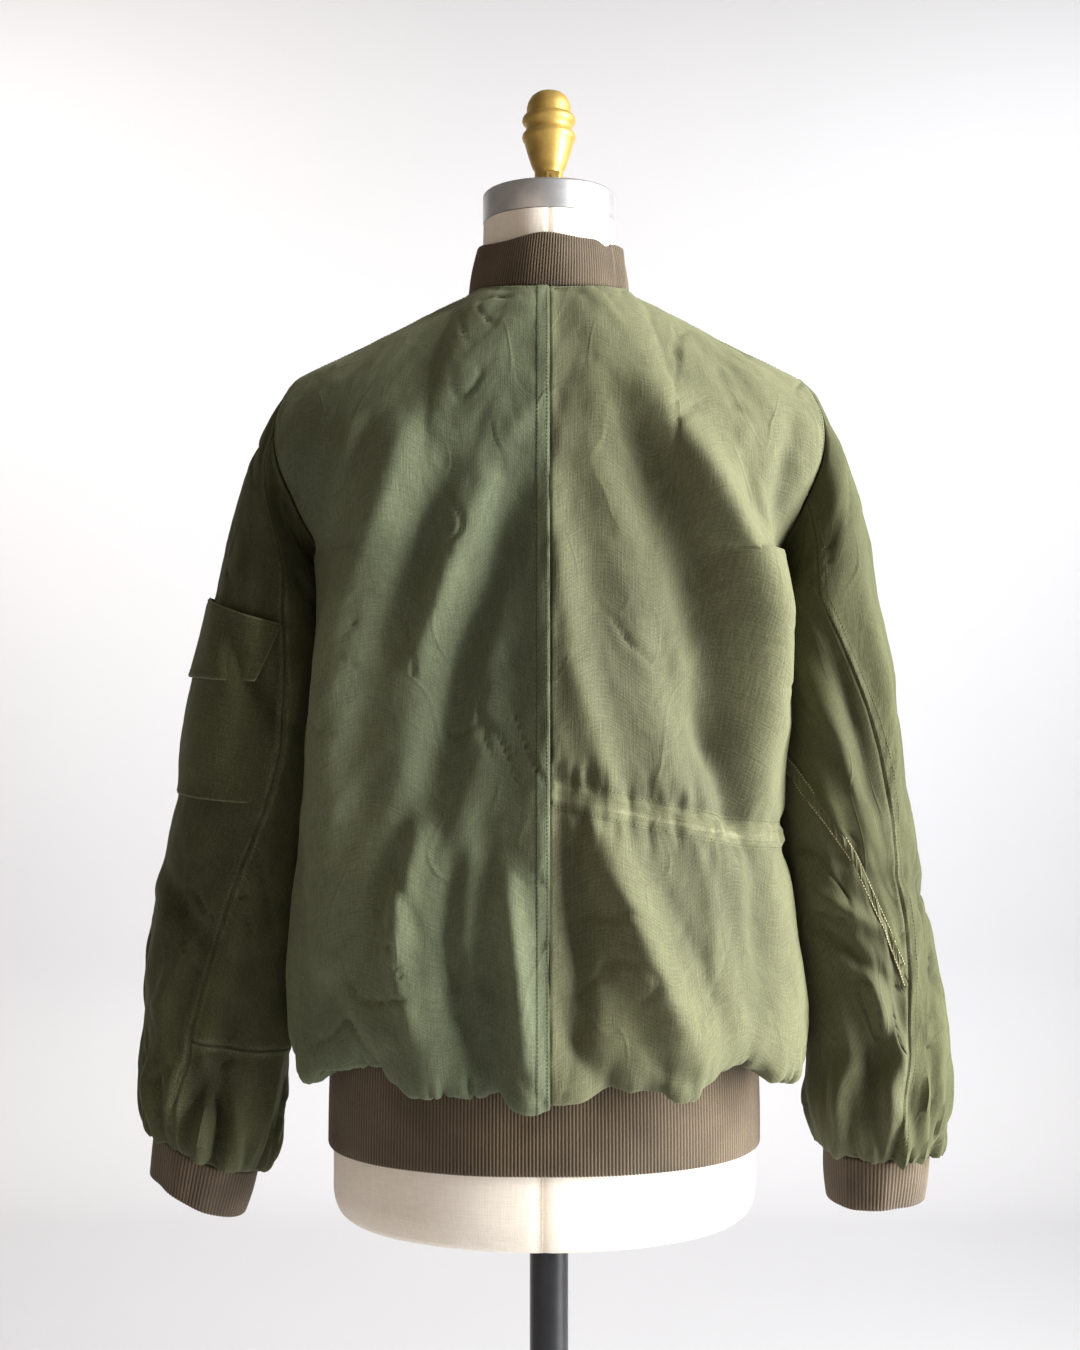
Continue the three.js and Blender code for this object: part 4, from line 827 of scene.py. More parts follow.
@dataclass(frozen=True)
class RibKnit:
    """Brown-olive rib knit: matt wool and cotton yarn, with painted shade between the wales and painted light on their
    tops.
    """

    name: str = "brown-olive rib knit, wool and cotton"
    yarn: str = "#524533"
    worn: str = "#6a5b45"
    # Colour of the painted shade between the wales.
    depth: str = "#231c12"

    def make(self) -> bpy.types.Material:
        """Builds the material."""
        material, tree, surface = new_material(self.name)
        place = object_place(tree)
        top = mark(tree, "wale")
        loops = noise(tree, cloth_place(tree, 1.4, 1.1), 1.0, 2.0)
        patches = noise(tree, place, 18.0, 3.0)
        colour = blend_colours(tree, mapped(tree, patches, 0.35, 0.7), linear(self.yarn), linear(self.worn))
        # Painted light and shade: paler on the wale tops, darker between the wales.
        lit = sum_of(tree, top, mapped(tree, loops, 0.3, 0.7, -0.3, 0.3))
        colour = blend_colours(tree, mapped(tree, lit, -0.9, 0.5, 0.75, 0.0), colour, linear(self.depth))
        fuzz = noise(tree, cloth_place(tree, 1.0, 1.0), 2.2, 3.0, 0.7)
        tree.links.new(colour, surface.inputs["Base Color"])
        tree.links.new(relief_of(tree, sum_of(tree, loops, fuzz), 0.6, 0.0006), surface.inputs["Normal"])
        surface.inputs["Roughness"].default_value = 0.95
        surface.inputs["Specular IOR Level"].default_value = 0.15
        surface.inputs["Sheen Weight"].default_value = 0.25
        surface.inputs["Sheen Roughness"].default_value = 0.6
        return material


@dataclass(frozen=True)
class PlainYarn:
    """Spun thread or woven tape: matt, one dye with a little unevenness."""

    name: str
    colour: str
    uneven: str
    cell: float = 2.0

    def make(self) -> bpy.types.Material:
        """Builds the material."""
        material, tree, surface = new_material(self.name)
        place = object_place(tree)
        wear = noise(tree, place, 1000 / self.cell / 4, 3.0)
        colour = blend_colours(tree, mapped(tree, wear, 0.35, 0.7), linear(self.colour), linear(self.uneven))
        twist = noise(tree, place, 1000 / self.cell, 2.0)
        tree.links.new(colour, surface.inputs["Base Color"])
        tree.links.new(relief_of(tree, twist, 0.4, 0.0002), surface.inputs["Normal"])
        surface.inputs["Roughness"].default_value = 0.85
        return material


@dataclass(frozen=True)
class CreamLinen:
    """Cream linen stretched over the form: plain weave with thicker yarns here and there, slightly soiled, with painted
    shade in its seam grooves.
    """

    name: str = "cream linen cover, plain weave"
    cloth: str = "#f3ece0"
    soiled: str = "#dccfb9"
    # Colour of the painted shade in the seam grooves.
    groove: str = "#a8967a"
    # Real yarns are 0.6 mm apart; the slubs that show are drawn 1.2 mm wide.
    yarn: float = 1.2

    def make(self) -> bpy.types.Material:
        """Builds the material."""
        material, tree, surface = new_material(self.name)
        place = object_place(tree)
        cells = {0: place, 1: (1000 / 14, 1000 / 14, 1000 / self.yarn)}
        weft = noise(tree, add_node(tree, "ShaderNodeVectorMath", cells, operation="MULTIPLY").outputs[0], 1.0)
        cells = {0: place, 1: (1000 / self.yarn, 1000 / self.yarn, 1000 / 18)}
        warp = noise(tree, add_node(tree, "ShaderNodeVectorMath", cells, operation="MULTIPLY").outputs[0], 1.0)
        soil = noise(tree, place, 9.0, 4.0, 0.6)
        colour = blend_colours(tree, mapped(tree, soil, 0.45, 0.75, 0.0, 0.5), linear(self.cloth), linear(self.soiled))
        edge = mark(tree, "edge")
        # Painted shade: the seam grooves take the groove colour.
        colour = blend_colours(tree, mapped(tree, edge, 0.0, 1.0, 0.0, 0.6), colour, linear(self.groove))
        yarns = sum_of(tree, weft, warp)
        spread = mapped(tree, yarns, 0.7, 1.3, 0.94, 1.04)
        colour = shaded(tree, colour, spread)
        tree.links.new(colour, surface.inputs["Base Color"])
        tree.links.new(relief_of(tree, yarns, 0.25, 0.0004), surface.inputs["Normal"])
        surface.inputs["Roughness"].default_value = 0.9
        surface.inputs["Specular IOR Level"].default_value = 0.2
        return material


@dataclass(frozen=True)
class MetalFinish:
    """A metal or painted metal part: how it was worked gives the pattern in its gloss and relief."""

    name: str
    colour: str
    deep: str
    metallic: float
    rough: tuple[float, float]
    cells: tuple[float, float, float]
    relief: float
    coat: float = 0.0

    def make(self) -> bpy.types.Material:
        """Builds the material; cells are the pattern's sizes in millimetres along x, y and z."""
        material, tree, surface = new_material(self.name)
        place = object_place(tree)
        scale = tuple(1000 / c for c in self.cells)
        cell = add_node(tree, "ShaderNodeVectorMath", {0: place, 1: scale}, operation="MULTIPLY").outputs[0]
        marks = noise(tree, cell, 1.0, 3.0, 0.65)
        patches = noise(tree, place, 60.0, 4.0, 0.6)
        colour = blend_colours(tree, mapped(tree, patches, 0.4, 0.75, 0.0, 0.7), linear(self.colour), linear(self.deep))
        gloss = mapped(tree, sum_of(tree, marks, patches), 0.7, 1.3, *self.rough)
        tree.links.new(colour, surface.inputs["Base Color"])
        tree.links.new(gloss, surface.inputs["Roughness"])
        tree.links.new(relief_of(tree, marks, 0.5, self.relief * METRE), surface.inputs["Normal"])
        surface.inputs["Metallic"].default_value = self.metallic
        surface.inputs["Coat Weight"].default_value = self.coat
        return material


@dataclass(frozen=True)
class MattPaint:
    """Matt pale paint of the studio's wall and floor."""

    name: str
    colour: str

    def make(self) -> bpy.types.Material:
        """Builds the material."""
        material, tree, surface = new_material(self.name)
        place = object_place(tree)
        tone = mapped(tree, noise(tree, place, 1.5, 3.0), 0.3, 0.7, 0.98, 1.0)
        tree.links.new(shaded(tree, linear(self.colour), tone), surface.inputs["Base Color"])
        surface.inputs["Roughness"].default_value = 0.9
        return material


# Forms shared with the CAD source

# Body rings: level, height, half width, back, front, the zip line's own height and front, corner power.
BODY_RINGS = (
    (0.0, 902.5, 177, 119.5, 117.5, 902.5, 117.5, 0.9), (0.03, 893, 190, 133, 128, 912, 121, 0.89),
    (0.06, 888, 200, 143, 136, 922, 123, 0.88), (0.1, 893, 207, 150, 142, 934, 126, 0.87),
    (0.16, 913, 209, 154, 144, 948, 129, 0.87), (0.28, 965, 203, 154, 142, 985, 132, 0.86),
    (0.45, 1045, 192, 149, 138, 1050, 133, 0.86), (0.65, 1140, 185, 143, 134, 1140, 132, 0.86),
    (0.85, 1230, 181, 137, 131, 1230, 130, 0.86), (1.0, 1297, 183, 133, 128, 1297, 128, 0.86),
)
# Yoke rows: rise, armhole x, armhole back and front, centre back and front, sweep of the section.
YOKE_ROWS = (
    (0.0, 183, 0, 0, 133, 128, 90), (0.08, 189, 30, 30, 132, 127, 80), (0.25, 201, 52, 50, 130, 124, 70),
    (0.5, 215, 62, 58, 125, 115, 62), (0.72, 218, 52, 49, 114, 101, 56), (0.88, 213, 33, 31, 97, 88, 50),
    (0.96, 209, 17, 16, 81, 78, 46), (1.0, 207, 0, 0, 70, 72, 44),
)
# Hanging lobes of the bloused hem: turn (0 centre back, 1 side seam, 2 zip), width, drop, swell.
HEM_LOBES = (
    (0.02, 0.05, 8, 4), (0.12, 0.05, -4, -4), (0.23, 0.07, 6, 4), (0.46, 0.12, -14, -5), (0.68, 0.07, 5, 3),
    (0.95, 0.1, -2, 0), (1.22, 0.08, -8, -5), (1.42, 0.08, 6, 5), (1.62, 0.07, -5, -5), (1.78, 0.06, 3, 5),
    (-0.11, 0.06, -4, -4), (-0.26, 0.07, 6, 5), (-0.48, 0.11, -15, -6), (-0.7, 0.07, 4, 3), (-0.94, 0.1, -2, 0),
    (-1.2, 0.08, -7, -5), (-1.38, 0.08, 6, 5), (-1.58, 0.07, -6, -5), (-1.77, 0.06, 3, 5),
)
UNDERARM_HEIGHT = 1297.0
SHOULDER_HALF_WIDTH = 207.0
NECK_HALF_WIDTH = 66.0
NECK_DEPTH = {True: 70.0, False: 72.0}
NECK_HEIGHT = {True: 1505.0, False: 1484.0}
NECK_POINT_HEIGHT = 1512.0
SHOULDER_POINT_HEIGHT = 1443.0
YOKE_POWER = 0.86
ZIP_HALF_WIDTH = 7.0


def top_edge(s: Array, is_back: bool) -> tuple[Array, Array]:
    """Depth and height of a body piece's top edge: neckline, then shoulder seam."""
    x = SHOULDER_HALF_WIDTH * s
    t = np.clip(x / NECK_HALF_WIDTH, 0, 1)
    neck_y = NECK_DEPTH[is_back] * np.maximum(0, 1 - t ** 2.4) ** 0.6
    neck_z = NECK_HEIGHT[is_back] + (NECK_POINT_HEIGHT - NECK_HEIGHT[is_back]) * t * t
    out = np.clip((x - NECK_HALF_WIDTH) / (SHOULDER_HALF_WIDTH - NECK_HALF_WIDTH), 0, 1)
    shoulder_z = NECK_POINT_HEIGHT + (SHOULDER_POINT_HEIGHT - NECK_POINT_HEIGHT) * out
    at_neck = x <= NECK_HALF_WIDTH
    return np.where(at_neck, neck_y, 0.0), np.where(at_neck, neck_z, shoulder_z)


def body_points(side: int, is_back: bool, s: Array, level: Array) -> Array:
    """Plain jacket body.

    Args:
        side: 1 for the wearer's left, -1 for the right.
        is_back: back or front.
        s: 0 at the centre line to 1 at the side seam or armhole.
        level: 0 at the waist seam, 1 at the underarm, 2 at the shoulder and neck.

    Returns:
        Points in millimetres.
    """
    s, level = np.broadcast_arrays(np.asarray(s, float), np.asarray(level, float))
    facing = 1 if is_back else -1
    turn = side * (s if is_back else 2 - s)
    low = np.minimum(level, 1)
    zip_line = np.zeros(s.shape) if is_back else np.exp(-((s / 0.16) ** 2))
    z0, half, full = (read_table(BODY_RINGS, c, low) for c in (1, 2, 3 if is_back else 4))
    zip_z, zip_front, power = (read_table(BODY_RINGS, c, low) for c in (5, 6, 7))
    depth = full + (zip_front - full) * zip_line
    z = z0 + (zip_z - z0) * zip_line
    x = half * np.maximum(0, np.sin(s * math.pi / 2)) ** power
    y = depth * np.maximum(0, np.cos(s * math.pi / 2)) ** power
    roll = np.exp(-(((low - 0.09) / 0.09) ** 2)) * np.minimum(1, low / 0.03) * (1 - zip_line)
    drop = sum(lobe[2] * bell(turn - lobe[0], lobe[1]) for lobe in HEM_LOBES)
    swell = sum(lobe[3] * bell(turn - lobe[0], lobe[1]) for lobe in HEM_LOBES)
    reach = 1 + roll * swell / np.hypot(x, y)
    lower = np.stack([side * x * reach, facing * y * reach, z - roll * drop], axis=-1)
    rise = np.clip(level - 1, 0, 1)
    sweep = np.radians(read_table(YOKE_ROWS, 6, rise))
    arm_x, arm_y, centre_y = (read_table(YOKE_ROWS, c, rise) for c in (1, 2 if is_back else 3, 4 if is_back else 5))

    def arc(angle: Array) -> Array:
        end = np.cos(angle) ** YOKE_POWER
        return (np.maximum(0, np.cos(angle * s)) ** YOKE_POWER - end) / (1 - end)

    sine = (np.sin(sweep * s) / np.sin(sweep)) ** YOKE_POWER
    x = arm_x * (sine + (s - sine) * rise ** 3)
    top_y, top_z = top_edge(s, is_back)
    roll_over = 1 - np.sqrt(np.maximum(0, 1 - rise * rise))
    plain = NECK_DEPTH[is_back] * arc(np.full(s.shape, math.radians(44)))
    y = arm_y + (centre_y - arm_y) * arc(sweep) + roll_over * (top_y - plain)
    upper = np.stack([side * x, facing * y, UNDERARM_HEIGHT + rise * (top_z - UNDERARM_HEIGHT)], axis=-1)
    return np.where((level <= 1)[..., None], lower, upper)


def yoke_level(step: Array) -> Array:
    """Level of a place up the yoke, counted in 12 steps that come closer near the shoulder."""
    return 1 + np.sin(np.pi / 2 * np.asarray(step, float) / 12) ** 1.3


# Sleeve rings: down, height, x, y, half width, half depth, tilt, back seam and front seam (degrees).
LEFT_RINGS = (
    (0.0, 1262, 230, -4, 43, 80, 0, 118, 290), (0.18, 1180, 240, -6, 52, 75, 2, 124, 288),
    (0.36, 1100, 249, -8, 56, 70, 4, 115, 282), (0.52, 1028, 260, -8, 60, 66, 6, 99, 276),
    (0.67, 960, 271, -6, 60, 64, 9, 90, 270), (0.8, 900, 275, -4, 58, 63, 14, 80, 262),
    (0.9, 855, 276, -2, 57, 61, 19, 72, 256), (0.96, 824, 278, 0, 53, 56, 22, 69, 252),
    (0.985, 813, 280, 0, 48, 50, 23, 69, 250), (1.0, 812, 282, 0, 42, 42, 23, 69, 250),
)
RIGHT_RINGS = (
    (0.0, 1262, 228, -4, 41, 80, 0, 112, 284), (0.18, 1180, 237, -6, 49, 75, 1, 78, 280),
    (0.36, 1100, 244, -8, 52, 70, 2, 62, 276), (0.52, 1028, 253, -8, 54, 66, 3, 62, 272),
    (0.67, 960, 265, -6, 54, 64, 4, 68, 270), (0.8, 900, 272, -4, 56, 63, 2, 78, 268),
    (0.9, 855, 271, -2, 59, 61, 0, 84, 268), (0.96, 824, 270, 0, 54, 56, 0, 86, 268),
    (0.985, 813, 270, 0, 50, 50, 0, 86, 268), (1.0, 812, 270, 0, 43, 43, 0, 86, 268),
)
# Share of the cross seam's slope at places round the sleeve.
CROSS_SEAM = ((0.25, 0), (0.375, 0), (0.44, 0.38), (0.52, 0.7), (0.6, 0.91), (0.75, 1))
FRONT_SEAM = 0.75
SLEEVE_GIRTH = 400.0
SLEEVE_LENGTH = 450.0
CAP_LENGTH = 90.0


@dataclass(frozen=True)
class SleeveForm:
    """One sleeve's smooth form, its cut lines and its main folds."""

    side: int
    rings: tuple
    back_seam: float
    cross: tuple[float, float]
    folds: tuple[Crease, ...]

    def degrees(self, around: Array, down: Array) -> Array:
        """Angle round the ring of a place counted from the seams."""
        back, front = read_table(self.rings, 7, down), read_table(self.rings, 8, down)
        first = back * around / self.back_seam
        second = back + (front - back) * (around - self.back_seam) / (FRONT_SEAM - self.back_seam)
        third = front + (360 - front) * (around - FRONT_SEAM) / (1 - FRONT_SEAM)
        return np.where(around <= self.back_seam, first, np.where(around <= FRONT_SEAM, second, third))

    def ring(self, around: Array, down: Array) -> Array:
        """Points of the sleeve below its cap."""
        z, x, y, half_width, half_depth, tilt = (read_table(self.rings, c, down) for c in range(1, 7))
        angle = np.radians(self.degrees(around, down))
        dx = half_width * np.cos(angle)
        lift = np.tan(np.radians(tilt)) * dx
        return np.stack([self.side * (x + dx), y + half_depth * np.sin(angle), z + lift], axis=-1)

    def armhole(self, around: Array) -> Array:
        """The armhole edge, from the shoulder (0) down the back to the underarm (0.5) and up the front (1)."""
        back = body_points(self.side, True, np.ones(around.shape), yoke_level(np.clip(12 - 24 * around, 0, 12)))
        front = body_points(self.side, False, np.ones(around.shape), yoke_level(np.clip(24 * around - 12, 0, 12)))
        return np.where((around <= 0.5)[..., None], back, front)

    def cap(self, around: Array, t: Array) -> Array:
        """Points of the sleeve's cap between the armhole (t 0) and the first ring (t 1)."""
        start, end = self.armhole(around), self.ring(around, np.zeros(around.shape))
        turn = 2 * np.pi * around
        leave = unit(np.stack([self.side * (0.42 + 0.12 * np.cos(turn)), 0.3 * np.sin(turn), -0.85 + 0 * turn], axis=-1))
        arrive = unit(np.array([self.side * 0.12, 0.0, -1.0]))
        handle = 0.36 * np.linalg.norm(end - start, axis=-1, keepdims=True)
        a, b, t = start + leave * handle, end - arrive * handle, t[..., None]
        return (1 - t) ** 3 * start + 3 * t * (1 - t) ** 2 * a + 3 * t * t * (1 - t) * b + t ** 3 * end

    def points(self, around: Array, run: Array) -> Array:
        """Points of the whole sleeve; run is 0 at the armhole, 1 at the first ring and 2 at the cuff seam."""
        around, run = np.broadcast_arrays(np.asarray(around, float), np.asarray(run, float))
        around = np.mod(around, 1.0)
        cap = self.cap(around, np.clip(run, 0, 1))
        return np.where((run < 1)[..., None], cap, self.ring(around, np.clip(run - 1, 0, 1)))

    def fold_height(self, around: Array, run: Array) -> Array:
        """Main folds as heights; their places are millimetres round and down the sleeve."""
        down = np.clip(run - 1, 0, 1)
        px = self.degrees(np.mod(around, 1.0), down) / 360 * SLEEVE_GIRTH
        py = np.where(run < 1, (run - 1) * CAP_LENGTH, down * SLEEVE_LENGTH)
        height = creased(self.folds, px, py) + creased(self.folds, px - SLEEVE_GIRTH, py)
        return height * ramp(0.0, 0.35, run) * ramp(2.0, 1.97, run)

    def cross_seam(self, around: Array) -> Array:
        """Run of the seam between the upper and lower under-pieces."""
        share = read_table(CROSS_SEAM, 1, around)
        return 1 + self.cross[0] + (self.cross[1] - self.cross[0]) * share

    def grid(self, name: str, start: float, end: float, low: Callable[[Array], Array], high: Callable[[Array], Array],
             pitch: float, lift: float = 0.0) -> "SleevePanel":
        """Cuts a panel out of the sleeve.

        Args:
            name: the piece's name.
            start: place round the sleeve of the first column.
            end: place of the last column.
            low: run of the first row at a place round the sleeve.
            high: run of the last row there.
            pitch: distance between grid lines.
            lift: height over the sleeve's own face.

        Returns:
            The panel, folds applied.
        """
        probe = np.linspace(start, end, 200)
        middle_run = 0.5 * (low(probe) + high(probe))
        to_around = even_keys(probe, self.points(probe, middle_run))
        girth = np.linalg.norm(np.diff(self.points(probe, middle_run), axis=0), axis=1).sum()
        around = to_around(seam_steps(girth, pitch))
        share = np.linspace(0, 1, 200)
        centre = np.full(200, 0.5 * (start + end))
        line = self.points(centre, low(centre) + (high(centre) - low(centre)) * share)
        length = np.linalg.norm(np.diff(line, axis=0), axis=1).sum()
        rows = even_keys(share, line)(seam_steps(length, pitch))
        a = np.broadcast_to(around, (len(rows), len(around)))
        run = low(a) + (high(a) - low(a)) * rows[:, None]
        base = self.points(a, run)
        panel = SleevePanel(name, base, -self.side, a, run)
        step = 0.004
        across = self.points(a + step, run) - self.points(a - step, run)
        along = self.points(a, np.minimum(run + step, 2)) - self.points(a, np.maximum(run - step, 0))
        panel.normals = unit(np.cross(across, along)) * -self.side
        panel.lift(self.fold_height(a, run) + lift)
        return panel


@dataclass
class SleevePanel(Panel):
    """A panel that knows its places on the sleeve."""

    around: Array
    run: Array


# The jacket's cloth

def seen(path: Sequence[tuple[float, float]], width: float, depth: float, fade: float = 1.4) -> Crease:
    """A crease of the back, given where the photograph shows it (its pixels), as x and z in millimetres.

    Args:
        path: the fold's line in the photograph.
        width: its half width in millimetres.
        depth: its height, or depth below 0.
        fade: how softly its ends die out, in half widths.

    Returns:
        The crease over x and z.
    """
    return Crease(tuple(((549 - x) * 0.742, 1200 + (675 - y) * 0.742) for x, y in path), width, depth, fade)


LEFT_BACK_FOLDS = (
    seen(((395, 440), (385, 480), (366, 540), (346, 620), (332, 720), (322, 830), (324, 960)), 16, 14),
    seen(((400, 470), (360, 620), (345, 800), (350, 940)), 34, 8),
    seen(((440, 470), (425, 520), (408, 575), (392, 640)), 12, -8),
    seen(((480, 480), (456, 540), (436, 600), (412, 665)), 11, 6),
    seen(((515, 500), (490, 570), (456, 650), (440, 720), (426, 800)), 15, -11),
    seen(((549, 540), (548, 700), (540, 850)), 18, 8),
    seen(((500, 470), (490, 560)), 9, -2),
    seen(((470, 640), (450, 740), (440, 820)), 16, -4),
    seen(((520, 480), (500, 640), (490, 820)), 40, -5),
    seen(((370, 700), (372, 820), (380, 870)), 14, -3),
    seen(((416, 840), (400, 910), (398, 960), (412, 1030)), 10, 9),
    seen(((400, 820), (382, 880), (374, 950)), 9, -6),
    seen(((452, 870), (445, 940), (454, 1000), (474, 1055)), 11, -10),
    seen(((484, 820), (480, 940), (490, 1040)), 11, -5),
    seen(((508, 880), (515, 950), (524, 1050)), 9, 8),
    seen(((545, 900), (547, 1000), (548, 1070)), 8, -2.5),
    seen(((345, 425), (327, 480), (318, 540)), 9, 4),
    seen(((372, 432), (345, 520)), 9, 3),
    seen(((340, 985), (370, 1030), (400, 1060)), 10, 4),
    seen(((360, 905), (430, 915), (520, 910)), 30, 2.5),
    seen(((536, 400), (500, 440)), 9, 2.0),
)
RIGHT_BACK_FOLDS = (
    seen(((655, 400), (702, 470), (737, 545), (757, 625), (770, 720)), 19, 14),
    seen(((700, 470), (745, 600), (772, 760)), 38, 6),
    seen(((640, 440), (684, 540), (708, 640), (730, 750), (752, 820)), 22, -16),
    seen(((690, 430), (720, 480), (738, 540), (752, 600)), 11, 4),
    seen(((560, 470), (600, 600), (640, 720)), 34, -7),
    seen(((548, 480), (560, 560), (572, 650), (590, 720), (606, 785)), 13, 5),
    seen(((752, 450), (758, 500)), 8, -5),
    seen(((750, 430), (764, 500), (778, 580)), 8, 4),
    seen(((803, 412), (792, 470), (786, 530)), 9, -5),
    seen(((665, 640), (685, 720), (702, 790)), 12, -5),
    seen(((700, 700), (748, 805)), 12, -7),
    seen(((640, 480), (655, 600), (670, 640)), 14, -3),
    seen(((600, 830), (612, 870), (628, 910), (645, 960), (668, 1010), (690, 1050)), 17, 15),
    seen(((640, 840), (700, 900), (760, 960)), 34, -3),
    seen(((567, 850), (574, 930), (578, 1030)), 11, -8),
    seen(((742, 800), (765, 870), (772, 950), (775, 1010)), 11, -9),
    seen(((706, 862), (716, 930), (712, 1010)), 6, 1.8),
    seen(((668, 900), (700, 960), (724, 1030)), 7, -2.2),
    seen(((735, 900), (752, 980), (760, 1030)), 9, -3.5),
    seen(((560, 1000), (575, 1050), (600, 1075)), 8, -4),
    seen(((640, 1040), (668, 1068), (690, 1080)), 7, -3),
    seen(((600, 1030), (640, 1040), (740, 1020)), 16, 3),
    seen(((580, 395), (640, 397), (720, 410)), 20, 3),
    seen(((560, 795), (640, 812), (780, 835)), 14, -3),
)
LEFT_FRONT_FOLDS = (
    Crease(((40, 1395), (92, 1300), (128, 1215)), 18, 5.5), Crease(((96, 1400), (130, 1340), (150, 1270)), 12, -5),
    Crease(((62, 1150), (70, 1040), (84, 925)), 16, 6), Crease(((120, 1090), (132, 930)), 14, -5),
    Crease(((30, 1330), (48, 1200), (46, 1080)), 18, -3.5), Crease(((100, 1200), (108, 1080), (100, 960)), 12, 4),
    Crease(((34, 1080), (42, 960)), 9, -3),
)
RIGHT_FRONT_FOLDS = (
    Crease(((-44, 1400), (-98, 1300), (-132, 1205)), 18, 5.5), Crease(((-104, 1395), (-152, 1290)), 12, -5),
    Crease(((-58, 1140), (-70, 920)), 16, 6), Crease(((-122, 1100), (-118, 930)), 14, -5),
    Crease(((-26, 1300), (-50, 1210), (-40, 1090)), 16, -3.5), Crease(((-92, 1230), (-100, 1080), (-92, 970)), 12, 4),
    Crease(((-30, 1060), (-44, 950)), 9, -3),
)


@dataclass
class BodyPanels:
    """Back and front pieces of the jacket's body, its centre back seam and its drawcord casing."""

    sateen: bpy.types.Material
    poplin: bpy.types.Material
    threads: Threads
    pitch: float = 3.0
    cloth: float = 0.9
    fell_width: float = 10.5
    casing_width: float = 24.0

    def quarter(self, side: int, is_back: bool) -> Panel:
        """Grid of one body piece with its folds.

        Args:
            side: 1 left, -1 right.
            is_back: back or front.

        Returns:
            The panel, from the centre line (first column) and the waist seam (first row).
        """
        label = f"body_{'back' if is_back else 'front'}_{'left' if side > 0 else 'right'}"
        keys = np.linspace(0, 1, 400)
        s_of = even_keys(keys, body_points(side, is_back, keys, 0.45))
        pitch = self.pitch * (1.0 if is_back else 1.25)
        s = s_of(seam_steps(300, pitch))
        levels = np.concatenate([np.linspace(0, 1, 400), yoke_level(np.linspace(0, 12, 200))[1:]])
        level = even_keys(levels, body_points(side, is_back, 0.5, levels))(seam_steps(690, pitch))
        level[np.argmin(np.abs(level - 1))] = 1.0
        grid_s, grid_level = np.meshgrid(s, level)
        if not is_back:
            width = np.abs(body_points(side, False, 0.02, level)[:, 0]) / 0.02
            start = (ZIP_HALF_WIDTH / width)[:, None]
            grid_s = start + (1 - start) * grid_s
        base = body_points(side, is_back, grid_s, grid_level)
        panel = Panel(label, base, -side if is_back else side)
        if is_back:
            centre = panel.normals[:, 0].copy()
            centre[:, 0] = 0
            panel.normals[:, 0] = unit(centre)
        self.fold(panel, side, is_back, grid_s, grid_level)
        return panel

    def fold(self, panel: Panel, side: int, is_back: bool, s: Array, level: Array) -> None:
        """Lays the folds, gathers and creases on a body piece.

        Args:
            panel: the piece.
            side: 1 left, -1 right.
            is_back: back or front.
            s: place across at each point.
            level: place up at each point.
        """
        folds = {(1, True): LEFT_BACK_FOLDS, (-1, True): RIGHT_BACK_FOLDS,
                 (1, False): LEFT_FRONT_FOLDS, (-1, False): RIGHT_FRONT_FOLDS}[side, is_back]
        place = panel.base
        hold = np.minimum(1, (1 - s) / 0.12) * np.where(level > 1, np.minimum(1, (2 - level) / 0.3), 1)
        hold = hold * ramp(0.0, 0.05, level) * (1 if is_back else ramp(0, 22, panel.distance[Edge.FIRST]))
        panel.lift(creased(folds, place[..., 0], place[..., 2]) * hold * (1.4 if is_back and side < 0 else 1.05))
        if is_back:
            reach = ramp(0.06, 0.3, level) * ramp(1.25, 0.95, level)
            panel.lift((6 if side > 0 else 14) * bell(s - 0.63, 0.11) * reach * ramp(0.3, 0.6, level))
            panel.lift((9 if side > 0 else 4) * bell(s - 0.85, 0.1) * reach * (1 + 0.25 * wander(level * 5, 0, 30 + side)))
        seed = 11 + 7 * side + (20 if is_back else 0)
        turn = side * (s if is_back else 2 - s)
        run = turn * 290
        low = bell(level - 0.05, 0.075) * ramp(0, 0.02, level)
        gather = wander(run / 15, level * 4, seed) + 0.5 * wander(run / 6.5, level * 7, seed + 1)
        tight = 0.5 + 0.9 * np.maximum(0, wander(run / 60, 0, seed + 2))
        low = low * (1 if is_back else ramp(15, 110, panel.distance[Edge.FIRST]))
        panel.lift(6.5 * gather * tight * low * np.minimum(1, (1 - s) / 0.03))
        tuck = np.abs(wander(run / 13, level * 3, seed + 6))
        panel.lift(-6.0 * np.exp(-tuck / 0.13) * low * np.minimum(1, (1 - s) / 0.05))
        rising = bell(level - 0.1, 0.16) * ramp(0.02, 0.1, level)
        panel.lift(3.6 * wander(run / 26, level * 2.2, seed + 3) * rising * np.minimum(1, (1 - s) / 0.08))
        panel.crumple(1.35 if is_back else 1.0, seed + 40)
        panel.fade = 0.25 * wander(place[..., 0] / 120, place[..., 2] / 150, seed + 9) + 0.25 * ramp(1.4, 2, level)

    def build(self) -> None:
        """Makes the pieces, their seams and their casing."""
        panels = {}
        for side in (1, -1):
            for is_back in (True, False):
                panel = self.quarter(side, is_back)
                panels[panel.name] = panel
        left, right = panels["body_back_left"], panels["body_back_right"]
        self.centre_seam(left, right)
        for name, panel in panels.items():
            is_back = "back" in name
            self.edges(panel, is_back)
        self.casing_pull(right)
        for name, panel in panels.items():
            material, slot = (self.sateen, "sateen_dark") if name.endswith("left") else (self.poplin, "ripstop_light")
            self.finish(panel, material, slot)
        self.fell(left)
        self.casing(right)

    def finish(self, panel: Panel, material: bpy.types.Material, slot: str) -> None:
        """Closes a panel into cloth and gives it its finish.

        Args:
            panel: the panel.
            material: its finish.
            slot: the record's slot.
        """
        piece = panel.shell(self.cloth)
        dress(piece, material, slot, panel.name)

